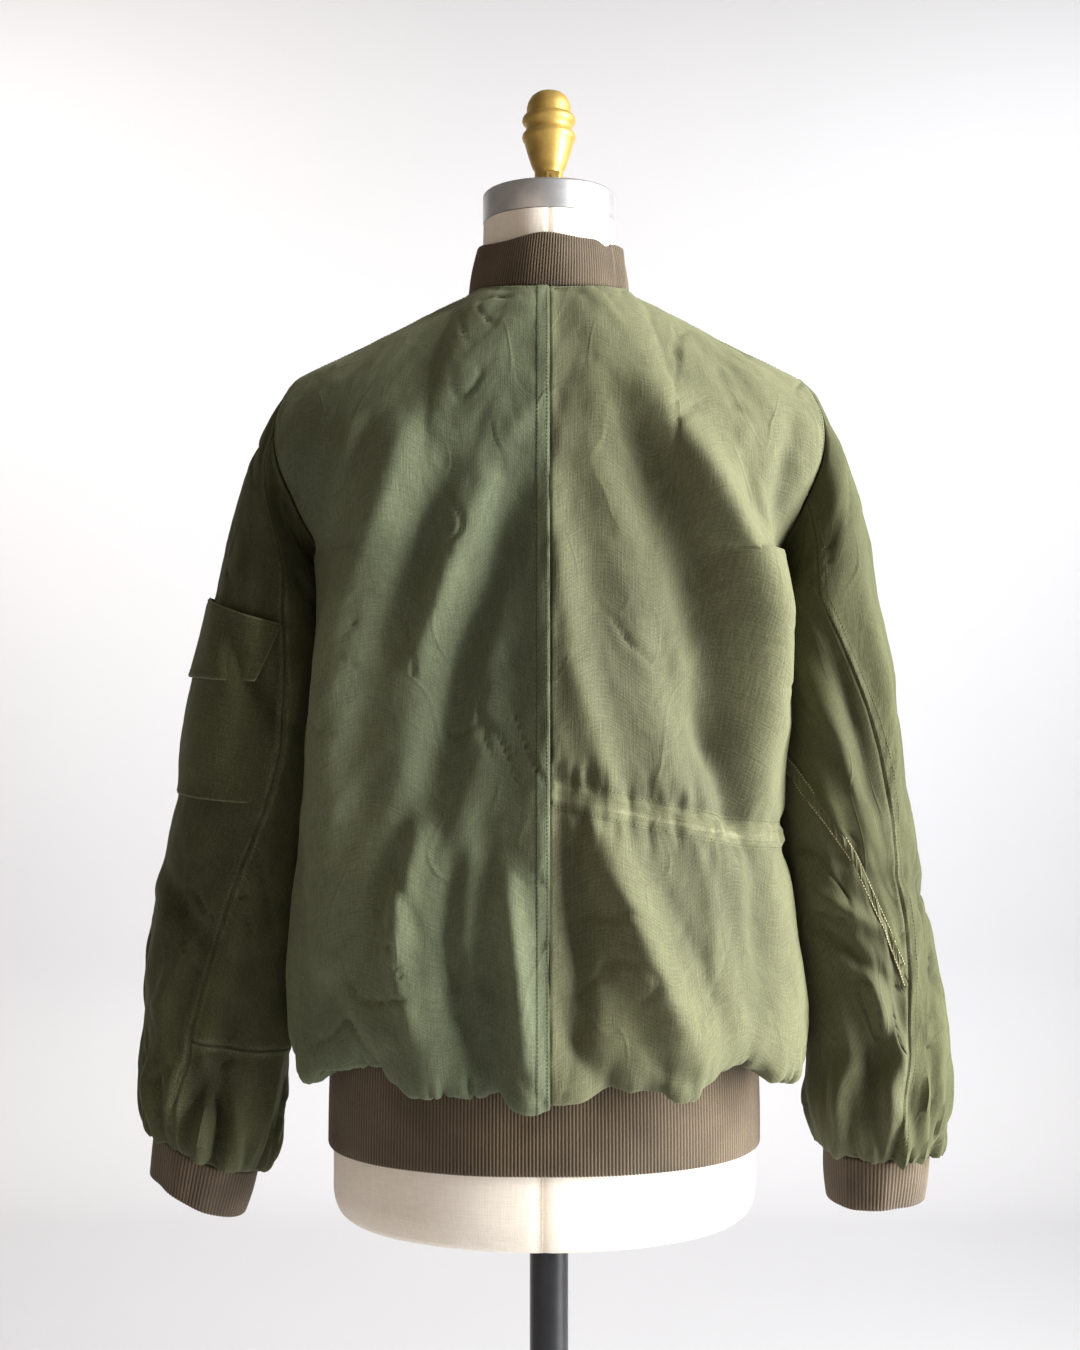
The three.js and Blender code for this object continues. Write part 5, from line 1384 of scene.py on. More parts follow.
    def centre_seam(self, left: Panel, right: Panel) -> None:
        """Folds of the centre back seam: a welt on the left side, a groove at the seam."""
        left.welt(Edge.FIRST, 1.0, self.fell_width, 0.08)
        left.pucker(Edge.FIRST, 0.55, 11, 9, 301)
        right.pucker(Edge.FIRST, 0.55, 9, 9, 301)
        right.seam(Edge.FIRST, 0.8, 1.3, 0.35)
        left.seam(Edge.FIRST, 0.5, 1.1, 0.2)
        self.threads.add(left.line(Edge.FIRST, 1.9, 0.05, 0.995, 0.5), left.line(Edge.FIRST, self.fell_width - 1.4, 0.05, 0.995, 0.5))

    def edges(self, panel: Panel, is_back: bool) -> None:
        """Seams round a body piece, with their stitching.

        Args:
            panel: the piece.
            is_back: back or front.
        """
        yoke = np.argmax(panel.base[:, -1, 2] > UNDERARM_HEIGHT) / len(panel.base)
        panel.seam(Edge.LAST, 0.7, 1.4, 0.5)
        panel.seam(Edge.HIGH, 0.9, 1.5, 0.55)
        panel.pucker(Edge.LAST, 0.5, 9, 8, 320)
        panel.pucker(Edge.HIGH, 0.35, 8, 7, 330)
        panel.welt(Edge.HIGH, 0.8, 7.0, 0.5)
        self.threads.add(panel.line(Edge.HIGH, 4.6), panel.line(Edge.LAST, 2.2, yoke, 0.985))
        if not is_back:
            panel.seam(Edge.FIRST, 0.4, 1.2, 0.6)
            panel.pucker(Edge.FIRST, 0.6, 9, 10, 340)
            self.threads.add(panel.line(Edge.FIRST, 2.0, 0.06), panel.line(Edge.FIRST, 7.5, 0.06))

    def fell(self, left: Panel) -> None:
        """Flat-felled strip beside the centre back seam."""
        rows = np.argmax(left.base[:, 0, 2] < left.base[0, 0, 2]) + 1
        start = max(4, int(rows))
        strip = self.ribbon(left, "centre_back_fell", Edge.FIRST, 0.7, self.fell_width - 0.3, 0.26, start)
        piece = strip.shell(0.2)
        dress(piece, self.sateen, "sateen_dark", "centre_back_fell")

    def ribbon(self, panel: Panel, name: str, edge: Edge, inner: float, outer: float, lift: float, start: int) -> Panel:
        """A strip that lies on a panel beside one of its side edges.

        Args:
            panel: the panel under it.
            name: the strip's name.
            edge: FIRST or LAST.
            inner: nearer distance from the edge.
            outer: farther distance.
            lift: height over the cloth.
            start: first row.

        Returns:
            The strip as a panel.
        """
        places = [panel.line(edge, at, start / len(panel.base), 1.0, lift).points
                  for at in np.linspace(inner, outer, 9)]
        count = min(len(p) for p in places)
        base = np.stack([p[-count:] for p in places], axis=1)
        strip = Panel(name, base, panel.sign)
        strip.seam(Edge.FIRST, 0.05, 0.8, 0.1)
        strip.seam(Edge.LAST, 0.05, 0.7, 0.1)
        strip.lift(0.1 * wander(strip.uv[..., 1] / 5, strip.uv[..., 0] / 6, 350))
        return strip

    def casing_line(self, panel: Panel, x: Array) -> Array:
        """Height of the casing's middle at an x of the right back."""
        return 1113 - (np.abs(x) - 5) * 0.228

    def casing_pull(self, panel: Panel) -> None:
        """Draws the right back in along the casing."""
        x, z = panel.base[..., 0], panel.base[..., 2]
        away = z - self.casing_line(panel, x)
        inside = ramp(230, 175, np.abs(x))
        wave = wander(x / 7.5, away / 30, 361) + 0.5 * wander(x / 3.6, away / 16, 362)
        panel.lift(inside * (-4.2 * bell(away, 17) + 2.6 * wave * bell(np.abs(away) - 15, 13)))

    def casing(self, panel: Panel) -> None:
        """Drawcord casing across the right back: a puckered channel between two rows of stitching."""
        columns = np.arange(1, len(panel.base[0]) - 6)
        half = self.casing_width / 2
        steps = np.array([-half, -half + 0.8, -half + 2, -half + 4, -half + 7, -4, 0, 4, half - 7, half - 4, half - 2,
                          half - 0.8, half])
        points, normals = panel.points, panel.normals
        base = np.zeros((len(steps), len(columns), 3))
        for k, column in enumerate(columns):
            z = panel.base[:, column, 2]
            rows = slice(int(np.argmin(z)), None)
            middle = self.casing_line(panel, np.interp(1100, z[rows], panel.base[rows, column, 0]))
            for axis in range(3):
                base[:, k, axis] = np.interp(middle + steps, z[rows], points[rows, column, axis])
                base[:, k, axis] += 0.4 * np.interp(middle + steps, z[rows], normals[rows, column, axis])
        strip = Panel("waist_casing", base, panel.sign)
        run, up = strip.uv[..., 0], strip.uv[..., 1]
        inner = ramp(1.5, 7, up) * ramp(self.casing_width - 1.5, self.casing_width - 7, up)
        folds = wander(run / 9 + 0.25 * wander(up / 6, run / 40, 371), up / 60, 370)
        sharp = 1 - np.minimum(1, np.abs(folds) * 2.4)
        strip.lift(inner * (2.4 + 2.0 * folds - 2.4 * sharp * ramp(0.2, 0.7, wander(run / 22, 0, 372) * 0.5 + 0.5)))
        strip.seam(Edge.LOW, 0.1, 1.0, 0.2)
        strip.seam(Edge.HIGH, 0.1, 1.0, 0.2)
        cord = bell(up - self.casing_width * 0.42, 1.5) * ramp(20, 70, run) * (0.7 + 0.3 * wander(run / 9, 0, 374))
        strip.edge = np.maximum(strip.edge, 1.8 * cord)
        strip.fade = strip.fade + 0.25 * inner * np.abs(folds)
        piece = strip.shell(0.3)
        dress(piece, self.poplin, "ripstop_light", "waist_casing")
        self.threads.add(strip.line(Edge.LOW, 1.9), strip.line(Edge.HIGH, 1.9))


LEFT_SLEEVE = SleeveForm(1, LEFT_RINGS, 0.25, (0.78, 0.78), (
    Crease(((67, 9), (133, 90)), 12, -6.8), Crease(((22, 225), (111, 279)), 12, -6.8),
    Crease(((78, 360), (144, 423)), 11, -6.8), Crease(((133, 202), (105, 342)), 12, 6.8),
    Crease(((278, 189), (355, 252)), 13, -8.5), Crease(((267, 315), (333, 387)), 13, -6.8),
    Crease(((90, 255), (60, 330), (72, 400)), 12, 6.8), Crease(((128, 330), (112, 400)), 9, -6),
    Crease(((104, 395), (96, 436)), 6, 6.8), Crease(((128, 390), (138, 436)), 6, 6.8),
    Crease(((116, 400), (116, 438)), 5, -6), Crease(((50, 380), (40, 432)), 7, 6),
    Crease(((150, 60), (128, 170)), 10, 6),
))
RIGHT_SLEEVE = SleeveForm(-1, RIGHT_RINGS, 0.375, (0.68, 0.12), (
    Crease(((67, 0), (55, 171)), 11, 6.8), Crease(((111, 45), (89, 153)), 12, -6.8),
    Crease(((67, 225), (150, 198)), 10, -6.8), Crease(((89, 315), (133, 414)), 11, -7.6),
    Crease(((278, 180), (353, 234)), 13, -8.5), Crease(((261, 306), (328, 387)), 13, -6.8),
    Crease(((150, 40), (108, 120), (96, 190)), 10, 6), Crease(((140, 235), (96, 262)), 7, 6),
    Crease(((146, 262), (104, 300)), 8, -6.8), Crease(((118, 285), (96, 360), (104, 410)), 9, 7.6),
    Crease(((132, 330), (120, 400)), 8, -6.8), Crease(((140, 380), (146, 436)), 7, 7.6),
    Crease(((96, 400), (84, 436)), 7, 7.6), Crease(((112, 396), (112, 438)), 6, -6.8),
    Crease(((64, 360), (58, 430)), 7, -6),
))


@dataclass
class Sleeve:
    """A two-seam sleeve in three pieces, with its seams and stitching."""

    label: str
    form: SleeveForm
    main: tuple[bpy.types.Material, str]
    lower: tuple[bpy.types.Material, str]
    threads: Threads
    pitch: float = 3.0
    cloth: float = 0.9

    def gather(self, panel: SleevePanel, seed: int) -> None:
        """Gathers above the cuff and ease at the armhole.

        Args:
            panel: a piece of the sleeve.
            seed: which pattern.
        """
        around, run = panel.around, panel.run
        place = np.mod(around, 1.0) * 420
        low = ramp(1.74, 1.95, run) * ramp(2.0, 1.985, run)
        panel.lift(low * (5.5 * wander(place / 12, run * 9, seed) + 2.4 * wander(place / 6, run * 14, seed + 1)))
        middle = ramp(1.25, 1.8, run) * ramp(2.0, 1.9, run)
        panel.lift(middle * 3.2 * wander(place / 30 + 3 * run, run * 9, seed + 2))
        elbow = bell(run - 1.5, 0.16)
        panel.lift(elbow * 2.6 * wander(place / 60, run * 22 + place / 50, seed + 3))
        gap = self.form.degrees(np.mod(around, 1.0), np.clip(run - 1, 0, 1)) - 160
        inner = bell(gap, 42) * ramp(0.7, 1.1, run) * ramp(1.95, 1.75, run)
        panel.lift((8 if self.form.side < 0 else 5) * inner)
        panel.crumple(1.5, seed + 4)
        # The right sleeve takes 0.12 more of the paler colour than the left: painted light on the sleeve nearer the
        # window light.
        panel.fade = 0.12 * wander(place / 90, run * 5, seed + 8) + (0.0 if self.form.side > 0 else 0.12)

    def side_seam(self, panel: Panel, edge: Edge, felled: bool, seed: int) -> None:
        """A long seam's groove, welt and topstitching."""
        panel.seam(edge, 0.8, 1.4, 0.5)
        panel.pucker(edge, 0.55, 9, 9, seed)
        if felled:
            panel.welt(edge, 0.8, 8.0, 0.7)
            self.threads.add(panel.line(edge, 1.9, 0.02, 0.985), panel.line(edge, 6.9, 0.02, 0.985))

    def build(self) -> None:
        """Makes the sleeve's pieces."""
        form, label = self.form, self.label
        start, end = FRONT_SEAM, 1 + form.back_seam

        def top(around: Array) -> Array:
            return np.zeros(np.shape(around))

        def bottom(around: Array) -> Array:
            return np.full(np.shape(around), 2.0)

        outer = form.grid(f"sleeve_{label}_outer", start, end, top, bottom, self.pitch)
        under = form.grid(f"sleeve_{label}_under", form.back_seam, FRONT_SEAM, top, form.cross_seam, self.pitch)
        lower = form.grid(f"sleeve_{label}_lower", form.back_seam, FRONT_SEAM, form.cross_seam, bottom, self.pitch)
        seed = 500 if form.side > 0 else 560
        for panel in (outer, under, lower):
            self.gather(panel, seed)
        self.side_seam(outer, Edge.LAST, True, seed + 20)
        self.side_seam(outer, Edge.FIRST, True, seed + 21)
        for panel in (under, lower):
            self.side_seam(panel, Edge.FIRST, False, seed + 20)
            self.side_seam(panel, Edge.LAST, False, seed + 21)
        for panel in (outer, under):
            panel.seam(Edge.LOW, 0.8, 1.5, 0.5)
            panel.pucker(Edge.LOW, 0.5, 10, 8, seed + 23)
        for panel in (outer, lower):
            panel.seam(Edge.HIGH, 0.6, 1.5, 0.3)
        under.seam(Edge.HIGH, 0.7, 1.3, 0.4)
        lower.seam(Edge.LOW, 0.7, 1.3, 0.5)
        under.pucker(Edge.HIGH, 0.7, 10, 8, seed + 24)
        lower.pucker(Edge.LOW, 0.8, 12, 8, seed + 24)
        if form.side > 0:
            self.threads.add(under.line(Edge.HIGH, 2.2), under.line(Edge.HIGH, 7.5))
        for panel in (outer, under, lower):
            material, slot = self.lower if panel is lower else self.main
            piece = panel.shell(self.cloth)
            dress(piece, material, slot, panel.name)

    def cross_fell(self, contrast: Threads) -> None:
        """Felled band over the right sleeve's slanting cross seam, double stitched in pale thread.

        Args:
            contrast: the pale thread's rows.
        """
        form = self.form
        half = 0.022

        def low(around: Array) -> Array:
            return form.cross_seam(around) - half

        def high(around: Array) -> Array:
            return form.cross_seam(around) + half

        band = form.grid("sleeve_right_fell", 9.2 / 24, 16 / 24, low, high, 1.6, 1.0)
        self.gather(band, 560)
        run, up = band.uv[..., 0], band.distance[Edge.LOW]
        bars = np.abs(np.mod(run / 6.4 + 0.3 * wander(run / 20, 0, 590), 1) - 0.5)
        band.lift(0.55 * ramp(0.32, 0.5, bars) - 0.35)
        band.lift(0.5 * wander(run / 5, up / 9, 591))
        band.seam(Edge.LOW, 0.5, 1.0, 0.9)
        band.seam(Edge.HIGH, 0.5, 1.0, 0.9)
        band.edge = np.maximum(band.edge, 0.45 * ramp(0.3, 0.5, bars))
        band.fade = band.fade + 0.35
        piece = band.shell(0.7)
        dress(piece, *self.lower, "sleeve_right_fell")
        contrast.add(band.line(Edge.LOW, 1.7), band.line(Edge.HIGH, 1.7))


@dataclass
class SleevePocket:
    """Patch pocket with a flap on the left sleeve."""

    form: SleeveForm
    material: bpy.types.Material
    threads: Threads
    pitch: float = 2.2

    def slanted(self, column: Array, share: float) -> Array:
        """Extra run of the pocket's top edge towards the back, in sleeve grid rows."""
        return share * 0.7 * np.maximum(0, (column - 1) / 5)

    def row_run(self, row: Array) -> Array:
        """Run of a place counted in the CAD grid's rows below the first ring."""
        downs = np.array([0, 0.07, 0.145, 0.25, 0.36, 0.47])
        return 1 + np.interp(row, np.arange(len(downs)), downs)

    def build(self) -> None:
        """Makes the pocket and its flap."""
        first, last = -2 / 24, 5.8 / 24

        def column(around: Array) -> Array:
            return np.asarray(around) * 24

        def top(around: Array) -> Array:
            return self.row_run(0.43 + self.slanted(column(around), 1))

        def bottom(around: Array) -> Array:
            return np.full(np.shape(around), 1.36)

        pocket = self.form.grid("sleeve_pocket", first, last, top, bottom, self.pitch, 2.2)
        near = np.minimum.reduce([pocket.distance[e] for e in Edge])
        pocket.lift(2.2 * ramp(0, 30, near))
        pocket.lift(0.9 * ramp(0, 14, near) * wander(pocket.uv[..., 0] / 30, pocket.uv[..., 1] / 45, 601))
        pocket.crumple(0.7, 602)
        for edge in Edge:
            pocket.lift(-0.9 * bell(pocket.distance[edge], 1.2))
            pocket.lift(-0.35 * bell(pocket.distance[edge] - 2.4, 0.9))
            pocket.edge = np.maximum(pocket.edge, 0.9 * bell(pocket.distance[edge], 1.0))
            pocket.pucker(edge, 0.35, 7, 8, 610)
        self.threads.add(*[pocket.line(edge, 2.4, lift=0.3) for edge in (Edge.FIRST, Edge.LAST, Edge.HIGH)])
        piece = pocket.shell(0.9)
        dress(piece, self.material, "sateen_sleeve", "sleeve_pocket")
        self.flap(first, last)

    def flap(self, first: float, last: float) -> None:
        """The flap: sewn along its top, its slanted back end and lower edge standing off a little."""
        def top(around: Array) -> Array:
            return self.row_run(self.slanted(np.asarray(around) * 24, 1))

        def bottom(around: Array) -> Array:
            return np.full(np.shape(around), 1.145)

        flap = self.form.grid("sleeve_pocket_flap", first, last, top, bottom, self.pitch, 5.4)
        share = flap.distance[Edge.LOW] / (flap.distance[Edge.LOW] + flap.distance[Edge.HIGH])
        along = flap.distance[Edge.FIRST] / (flap.distance[Edge.FIRST] + flap.distance[Edge.LAST])
        squeeze = 1 - 0.155 * share * ramp(0.55, 1.0, along)
        around = flap.around[:, :1] + (flap.around - flap.around[:, :1]) * squeeze
        moved = self.form.points(around, flap.run)
        flap.base = moved
        held = Panel("flap", moved, flap.sign)
        flap.distance, flap.uv = held.distance, held.uv
        flap.lift(1.6 * share ** 2 + 1.0 * share * wander(flap.uv[..., 0] / 34, share, 620))
        flap.lift(1.2 * ramp(0.8, 1.0, share) * wander(flap.uv[..., 0] / 16, 0, 621))
        flap.crumple(0.5, 622)
        for edge in Edge:
            flap.lift(-0.8 * bell(flap.distance[edge], 1.1))
            flap.edge = np.maximum(flap.edge, 0.9 * bell(flap.distance[edge], 1.0))
            flap.lift(-0.3 * bell(flap.distance[edge] - 5.2, 0.9))
        self.threads.add(*[flap.line(edge, 5.2, lift=0.3) for edge in (Edge.FIRST, Edge.LAST, Edge.HIGH)],
                         flap.line(Edge.LOW, 2.0, lift=0.3))
        piece = flap.shell(1.2)
        dress(piece, self.material, "sateen_sleeve", "sleeve_pocket_flap")


# Knit parts

@dataclass
class KnitBand:
    """A double layer of rib knit between two lines, folded over at its free edge."""

    name: str
    low: Array
    high: Array
    pitch: float
    closed: bool
    free_low: bool
    thickness: float = 2.4
    rise: float = 0.34
    rows: int = 16
    seed: int = 700
    dents: tuple = ()
    sway: float = 1.0

    def build(self, tree: bpy.types.NodeTree, material: bpy.types.Material, rests_on: str) -> bpy.types.Object:
        """Makes the band.

        Args:
            tree: the tree from wale_tree.
            material: the knit's finish.
            rests_on: not used.

        Returns:
            The piece.
        """
        size = np.linalg.norm(np.diff(self.low, axis=0), axis=1).sum()
        wales = round(size / self.pitch)
        columns = 4 * wales + (0 if self.closed else 1)
        low = resampled(self.low, 4 * wales + 1)[:columns]
        high = resampled(self.high, 4 * wales + 1)[:columns]
        height = np.linalg.norm(high - low, axis=1).mean()
        share = np.linspace(0, 1, self.rows)
        face = low + (high - low) * share[:, None, None]
        forward = np.roll(face, -1, 1) - np.roll(face, 1, 1)
        if not self.closed:
            forward[:, 0], forward[:, -1] = face[:, 1] - face[:, 0], face[:, -1] - face[:, -2]
        out = unit(np.cross(forward, high - low))
        centre = face.mean(axis=(0, 1))
        if np.sum(out * (face - centre)) < 0:
            out = -out
        around = np.arange(columns) / 4 * self.pitch
        span = np.broadcast_to(around, (self.rows, columns))
        up = share[:, None] * height
        turn = 2 * np.pi * around / (wales * self.pitch)
        bend = self.sway * (0.9 * wander(3 + 3 * np.cos(turn), 3 + 3 * np.sin(turn), self.seed)
                            + 0.5 * wander(9 + 8 * np.cos(turn), 9 + 8 * np.sin(turn), self.seed + 1))
        swell = np.sin(np.pi * share)[:, None] * (0.6 + 0.5 * bend)
        for place, width, depth, lean in self.dents:
            at = span - place * wales * self.pitch - lean * up
            swell = swell + depth * bell(at, width) * (0.35 + 0.65 * (1 - share if self.free_low else share))[:, None]
        face = face + out * swell[..., None]
        half = self.thickness / 2
        fold_rows = 5
        points, normals, ups = [], [], []
        order = range(self.rows) if not self.free_low else range(self.rows - 1, -1, -1)
        for row in order:
            points.append(face[row])
            normals.append(out[row])
            ups.append(up[row])
        free = 0 if self.free_low else self.rows - 1
        away = unit(face[free] - face[free + (1 if self.free_low else -1)])
        for step in range(1, fold_rows):
            angle = math.pi * step / fold_rows
            middle = face[free] - out[free] * half
            points.append(middle + out[free] * half * math.cos(angle) + away * half * math.sin(angle))
            normals.append(unit(out[free] * math.cos(angle) + away * math.sin(angle)))
            ups.append(up[free])
        for row in reversed(list(order)[:: 3]):
            points.append(face[row] - out[row] * self.thickness)
            normals.append(-out[row])
            ups.append(up[row])
        count = len(points)
        grid = np.stack(points)
        faces = grid_faces(count, columns, self.closed)
        joint = np.arange(columns)
        after = (joint + 1) % columns if self.closed else joint[1:]
        first = joint if self.closed else joint[:-1]
        rim = np.stack([first, after, (count - 1) * columns + after, (count - 1) * columns + first], axis=1)[:, ::-1]
        everything = np.concatenate([faces, rim]).tolist()
        if not self.closed:
            everything.append([row * columns for row in range(count)])
            everything.append([row * columns + columns - 1 for row in range(count - 1, -1, -1)])
        span = np.broadcast_to(around, (count, columns))
        uv = np.stack([span, np.stack([np.broadcast_to(u, (columns,)) for u in ups])], axis=-1).reshape(-1, 2) * METRE
        # Wale phase; the knit's finish paints light on the tops and shade between the wales from it.
        wale = np.cos(2 * np.pi * span / self.pitch)
        marks = {
            "round": (span * METRE).ravel(),
            "knit": np.ones(count * columns),
            "out": np.stack(normals).reshape(-1, 3),
            "wale": wale.ravel(),
        }
        piece = make_mesh(self.name, grid.reshape(-1, 3), everything, uv, marks)
        turn_outwards(piece)
        grow(piece, tree, {"Pitch": self.pitch * METRE, "Rise": self.rise * METRE, "Material": material})
        dress(piece, material, "rib_knit", self.name)
        return piece


def turn_outwards(piece: bpy.types.Object) -> None:
    """Turns all faces of a closed piece over when they enclose a negative volume."""
    mesh = piece.data
    points = np.zeros(len(mesh.vertices) * 3)
    mesh.vertices.foreach_get("co", points)
    points = points.reshape(-1, 3)
    mesh.calc_loop_triangles()
    corners = np.zeros(len(mesh.loop_triangles) * 3, int)
    mesh.loop_triangles.foreach_get("vertices", corners)
    a, b, c = (points[corners.reshape(-1, 3)[:, k]] for k in range(3))
    if np.einsum("ij,ij->i", a, np.cross(b, c)).sum() < 0:
        mesh.flip_normals()


def band_ring(height: float, half_width: float, back: float, front: float, gape: float, power: float, shift: float) -> Array:
    """Level ring with rounded corners, from the centre front round the back to the centre front again."""
    angle = np.radians(180 - gape - (360 - 2 * gape) * np.linspace(0, 1, 241))
    sine, cosine = np.sin(angle), np.cos(angle)
    depth = np.where(cosine > 0, back, front)
    x = shift * np.abs(sine) + half_width * np.sign(sine) * np.abs(sine) ** power
    return np.stack([x, depth * np.sign(cosine) * np.abs(cosine) ** power, np.full(angle.shape, height)], axis=1)


@dataclass
class KnitParts:
    """Collar, waistband and the two cuffs."""

    material: bpy.types.Material
    tree: bpy.types.NodeTree
    threads: Threads
    pitch: float = 2.75
    collar_pitch: float = 2.35

    def collar(self) -> None:
        """Standing collar on the neck edge, a little uneven, with one dent at the right back."""
        front = np.linspace(ZIP_HALF_WIDTH / SHOULDER_HALF_WIDTH, NECK_HALF_WIDTH / SHOULDER_HALF_WIDTH, 60)
        back = np.linspace(0, NECK_HALF_WIDTH / SHOULDER_HALF_WIDTH, 60)
        two = np.full(60, 2.0)
        low = np.concatenate([
            body_points(1, False, front, two), body_points(1, True, back, two)[::-1],
            body_points(-1, True, back, two)[1:], body_points(-1, False, front, two)[::-1],
        ])
        low[:, 2] += 0.4
        high = band_ring(1546, 60, 62, 66, 8, 1, -1)
        high[:, 2] -= 21 * np.maximum(0, -high[:, 1] / 66) ** 2
        angle = np.arctan2(high[:, 0], high[:, 1])
        high[:, 2] += 1.6 * np.sin(5 * angle + 0.6) + 1.4 * wander(angle * 2.2 + 9, 0, 710)
        high[:, 2] -= 5.5 * bell(angle + 0.86, 0.13) * (high[:, 1] > 0)
        dents = ((0.66, 5, -3.2, 0.10), (0.695, 5, 2.0, 0.10), (0.36, 12, -1.2, 0.0), (0.52, 16, 0.8, 0.0))
        band = KnitBand("collar", low, high, self.collar_pitch, False, False, rows=20, seed=701, dents=dents)
        band.build(self.tree, self.material, "body_back_left")

    def waistband(self) -> None:
        """Wide band that holds the hem to the hips."""
        low = band_ring(822, 176.6, 118.5, 117.5, 1.8, 0.92, 4)
        high = band_ring(898.8, 174.5, 117.6, 116.6, 1.8, 0.92, 4)
        angle = np.arctan2(low[:, 0], low[:, 1])
        low[:, 2] += 1.0 * wander(angle * 1.6 + 9, 0, 711)
        dents = ((0.3, 26, 0.7, 0.2), (0.62, 22, 0.6, -0.2), (0.18, 16, -0.5, 0.0), (0.83, 18, 0.6, 0.0))
        band = KnitBand("waistband", low, high, self.pitch, False, True, rows=18, seed=702, dents=dents)
        band.build(self.tree, self.material, "form_torso")

    def cuff(self, form: SleeveForm, x: float, z: float, half_width: float, half_depth: float, tilt: float,
             dents: tuple) -> None:
        """Cuff that hangs from a sleeve's end ring.

        Args:
            form: the sleeve.
            x: centre of the lower edge, outwards.
            z: its height.
            half_width: its half width.
            half_depth: its half depth.
            tilt: its slope in the photograph's plane, in degrees.
            dents: hollows in the knit.
        """
        around = np.linspace(0, 1, 241)
        high = form.points(around, np.full(241, 2.0))
        high[:, 2] -= 0.5
        high[-1] = high[0]
        angle = np.radians(form.degrees(around, np.ones(241)))
        dx = half_width * np.cos(angle)
        low = np.stack([form.side * (x + dx), half_depth * np.sin(angle), z + math.tan(math.radians(tilt)) * dx], axis=1)
        low[:, 2] += 1.2 * np.sin(2 * angle + 0.5)
        label = "left" if form.side > 0 else "right"
        band = KnitBand(f"cuff_{label}", low, high, self.pitch, True, True, rows=14, seed=703 + form.side, dents=dents)
        band.build(self.tree, self.material, f"sleeve_{label}_outer")

    def build(self) -> None:
        """Makes all four."""
        self.collar()
        self.waistband()
        self.cuff(LEFT_SLEEVE, 289, 775, 39, 37, 23, ((0.12, 9, -2.0, 0.1), (0.3, 10, 1.5, 0.0), (0.62, 12, -2.5, 0.0)))
        self.cuff(RIGHT_SLEEVE, 269, 771, 40, 37, 0, ((0.2, 10, -1.8, 0.0), (0.36, 8, 1.5, 0.1), (0.7, 12, -2.0, 0.0)))


# The zip

@dataclass
class ZipFastening:
    """Centre front zip: two woven tapes, brass teeth, slider and pull tab."""

    tape: bpy.types.Material
    brass: bpy.types.Material
    rows: bpy.types.NodeTree

    def line(self) -> tuple[Array, Array]:
        """The zip's middle line with its outward directions, from the band's lower edge to the neck."""
        levels = np.concatenate([np.linspace(0.02, 1, 90), yoke_level(np.linspace(0.4, 12, 60))])
        body = body_points(1, False, np.zeros(levels.shape), levels)
        body[:, 0] = 0
        band = np.array([[0, -117.5, 822], [0, -117.8, 840], [0, -118, 856], [0, -117.6, 880], [0, -117.2, 897]])
        line = resampled(np.concatenate([band, body]), 220)
        along = np.gradient(line, axis=0)
        out = unit(np.stack([np.zeros(220), -along[:, 2], along[:, 1]], axis=1))
        return line, out

    def build(self) -> None:
        """Makes the tapes, the teeth, the slider and the pull tab."""
        line, out = self.line()
        across = np.array([0.5, 1.5, 3.0, 4.8, 6.6, 8.6])
        for label, side in (("left", 1), ("right", -1)):
            base = line[:, None] + np.array([1.0, 0, 0]) * side * across[None, :, None]
            panel = Panel(f"zip_tape_{label}", base, side)
            panel.normals = np.broadcast_to(out[:, None], base.shape).copy()
            panel.lift(-0.2 - 0.9 * ramp(6, 8.6, across)[None])
            panel.lift(0.12 * wander(panel.uv[..., 1] / 6, panel.uv[..., 0] / 3, 801))
            piece = panel.shell(0.8)
            turn_outwards(piece)
            dress(piece, self.tape, "zip_tape", f"zip_tape_{label}")
        keep = slice(3, 214)
        teeth = Threads("zip_teeth", 2.1, (1.1, 3.0, 1.6))
        for side in (1, -1):
            shifted = line[keep] + np.array([side * 1.0, 0, 0]) + out[keep] * 0.45
            shifted[:, 2] += 0.5 * side
            teeth.add(Path(shifted, out[keep]))
        teeth.build(self.rows, self.brass, "zip_brass")
        self.metal_part("zip_slider", "slider", "jacket", 0.5)
        self.metal_part("zip_pull_tab", "pull_tab_metal", "pull_tab", 0.3)

    def metal_part(self, node: str, name: str, body: str, rounding: float) -> None:
        """A rounded copy of a small CAD solid.

        Args:
            node: the CAD node.
            name: the new piece's name.
            body: the body it moves with.
            rounding: width of its rounded edges in millimetres.
        """
        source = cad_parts[node]
        mesh = source.data.copy()
        piece = bpy.data.objects.new(name, mesh)
        bpy.context.scene.collection.objects.link(piece)
        merge_points(mesh)
        modifier = piece.modifiers.new("rounding", "BEVEL")
        modifier.width = rounding * METRE
        modifier.segments = 3
        modifier.limit_method = "ANGLE"
        flat_piece(piece, modifier)
        piece.data.polygons.foreach_set("use_smooth", np.ones(len(piece.data.polygons), bool))
        piece.data.set_sharp_from_angle(angle=math.radians(40))
        dress(piece, self.brass, "zip_brass", node, body)


def merge_points(mesh: bpy.types.Mesh) -> None:
    """Joins a mesh's doubled points and dissolves flat faces."""
    work = bmesh.new()
    work.from_mesh(mesh)
    bmesh.ops.remove_doubles(work, verts=work.verts, dist=2e-6)
    bmesh.ops.dissolve_limit(work, angle_limit=math.radians(2), verts=work.verts, edges=work.edges)
    bmesh.ops.recalc_face_normals(work, faces=work.faces)
    work.to_mesh(mesh)
    work.free()
    for name in [a.name for a in mesh.attributes if a.name.startswith("custom_normal")]:
        mesh.attributes.remove(mesh.attributes[name])


# Dress form and stand

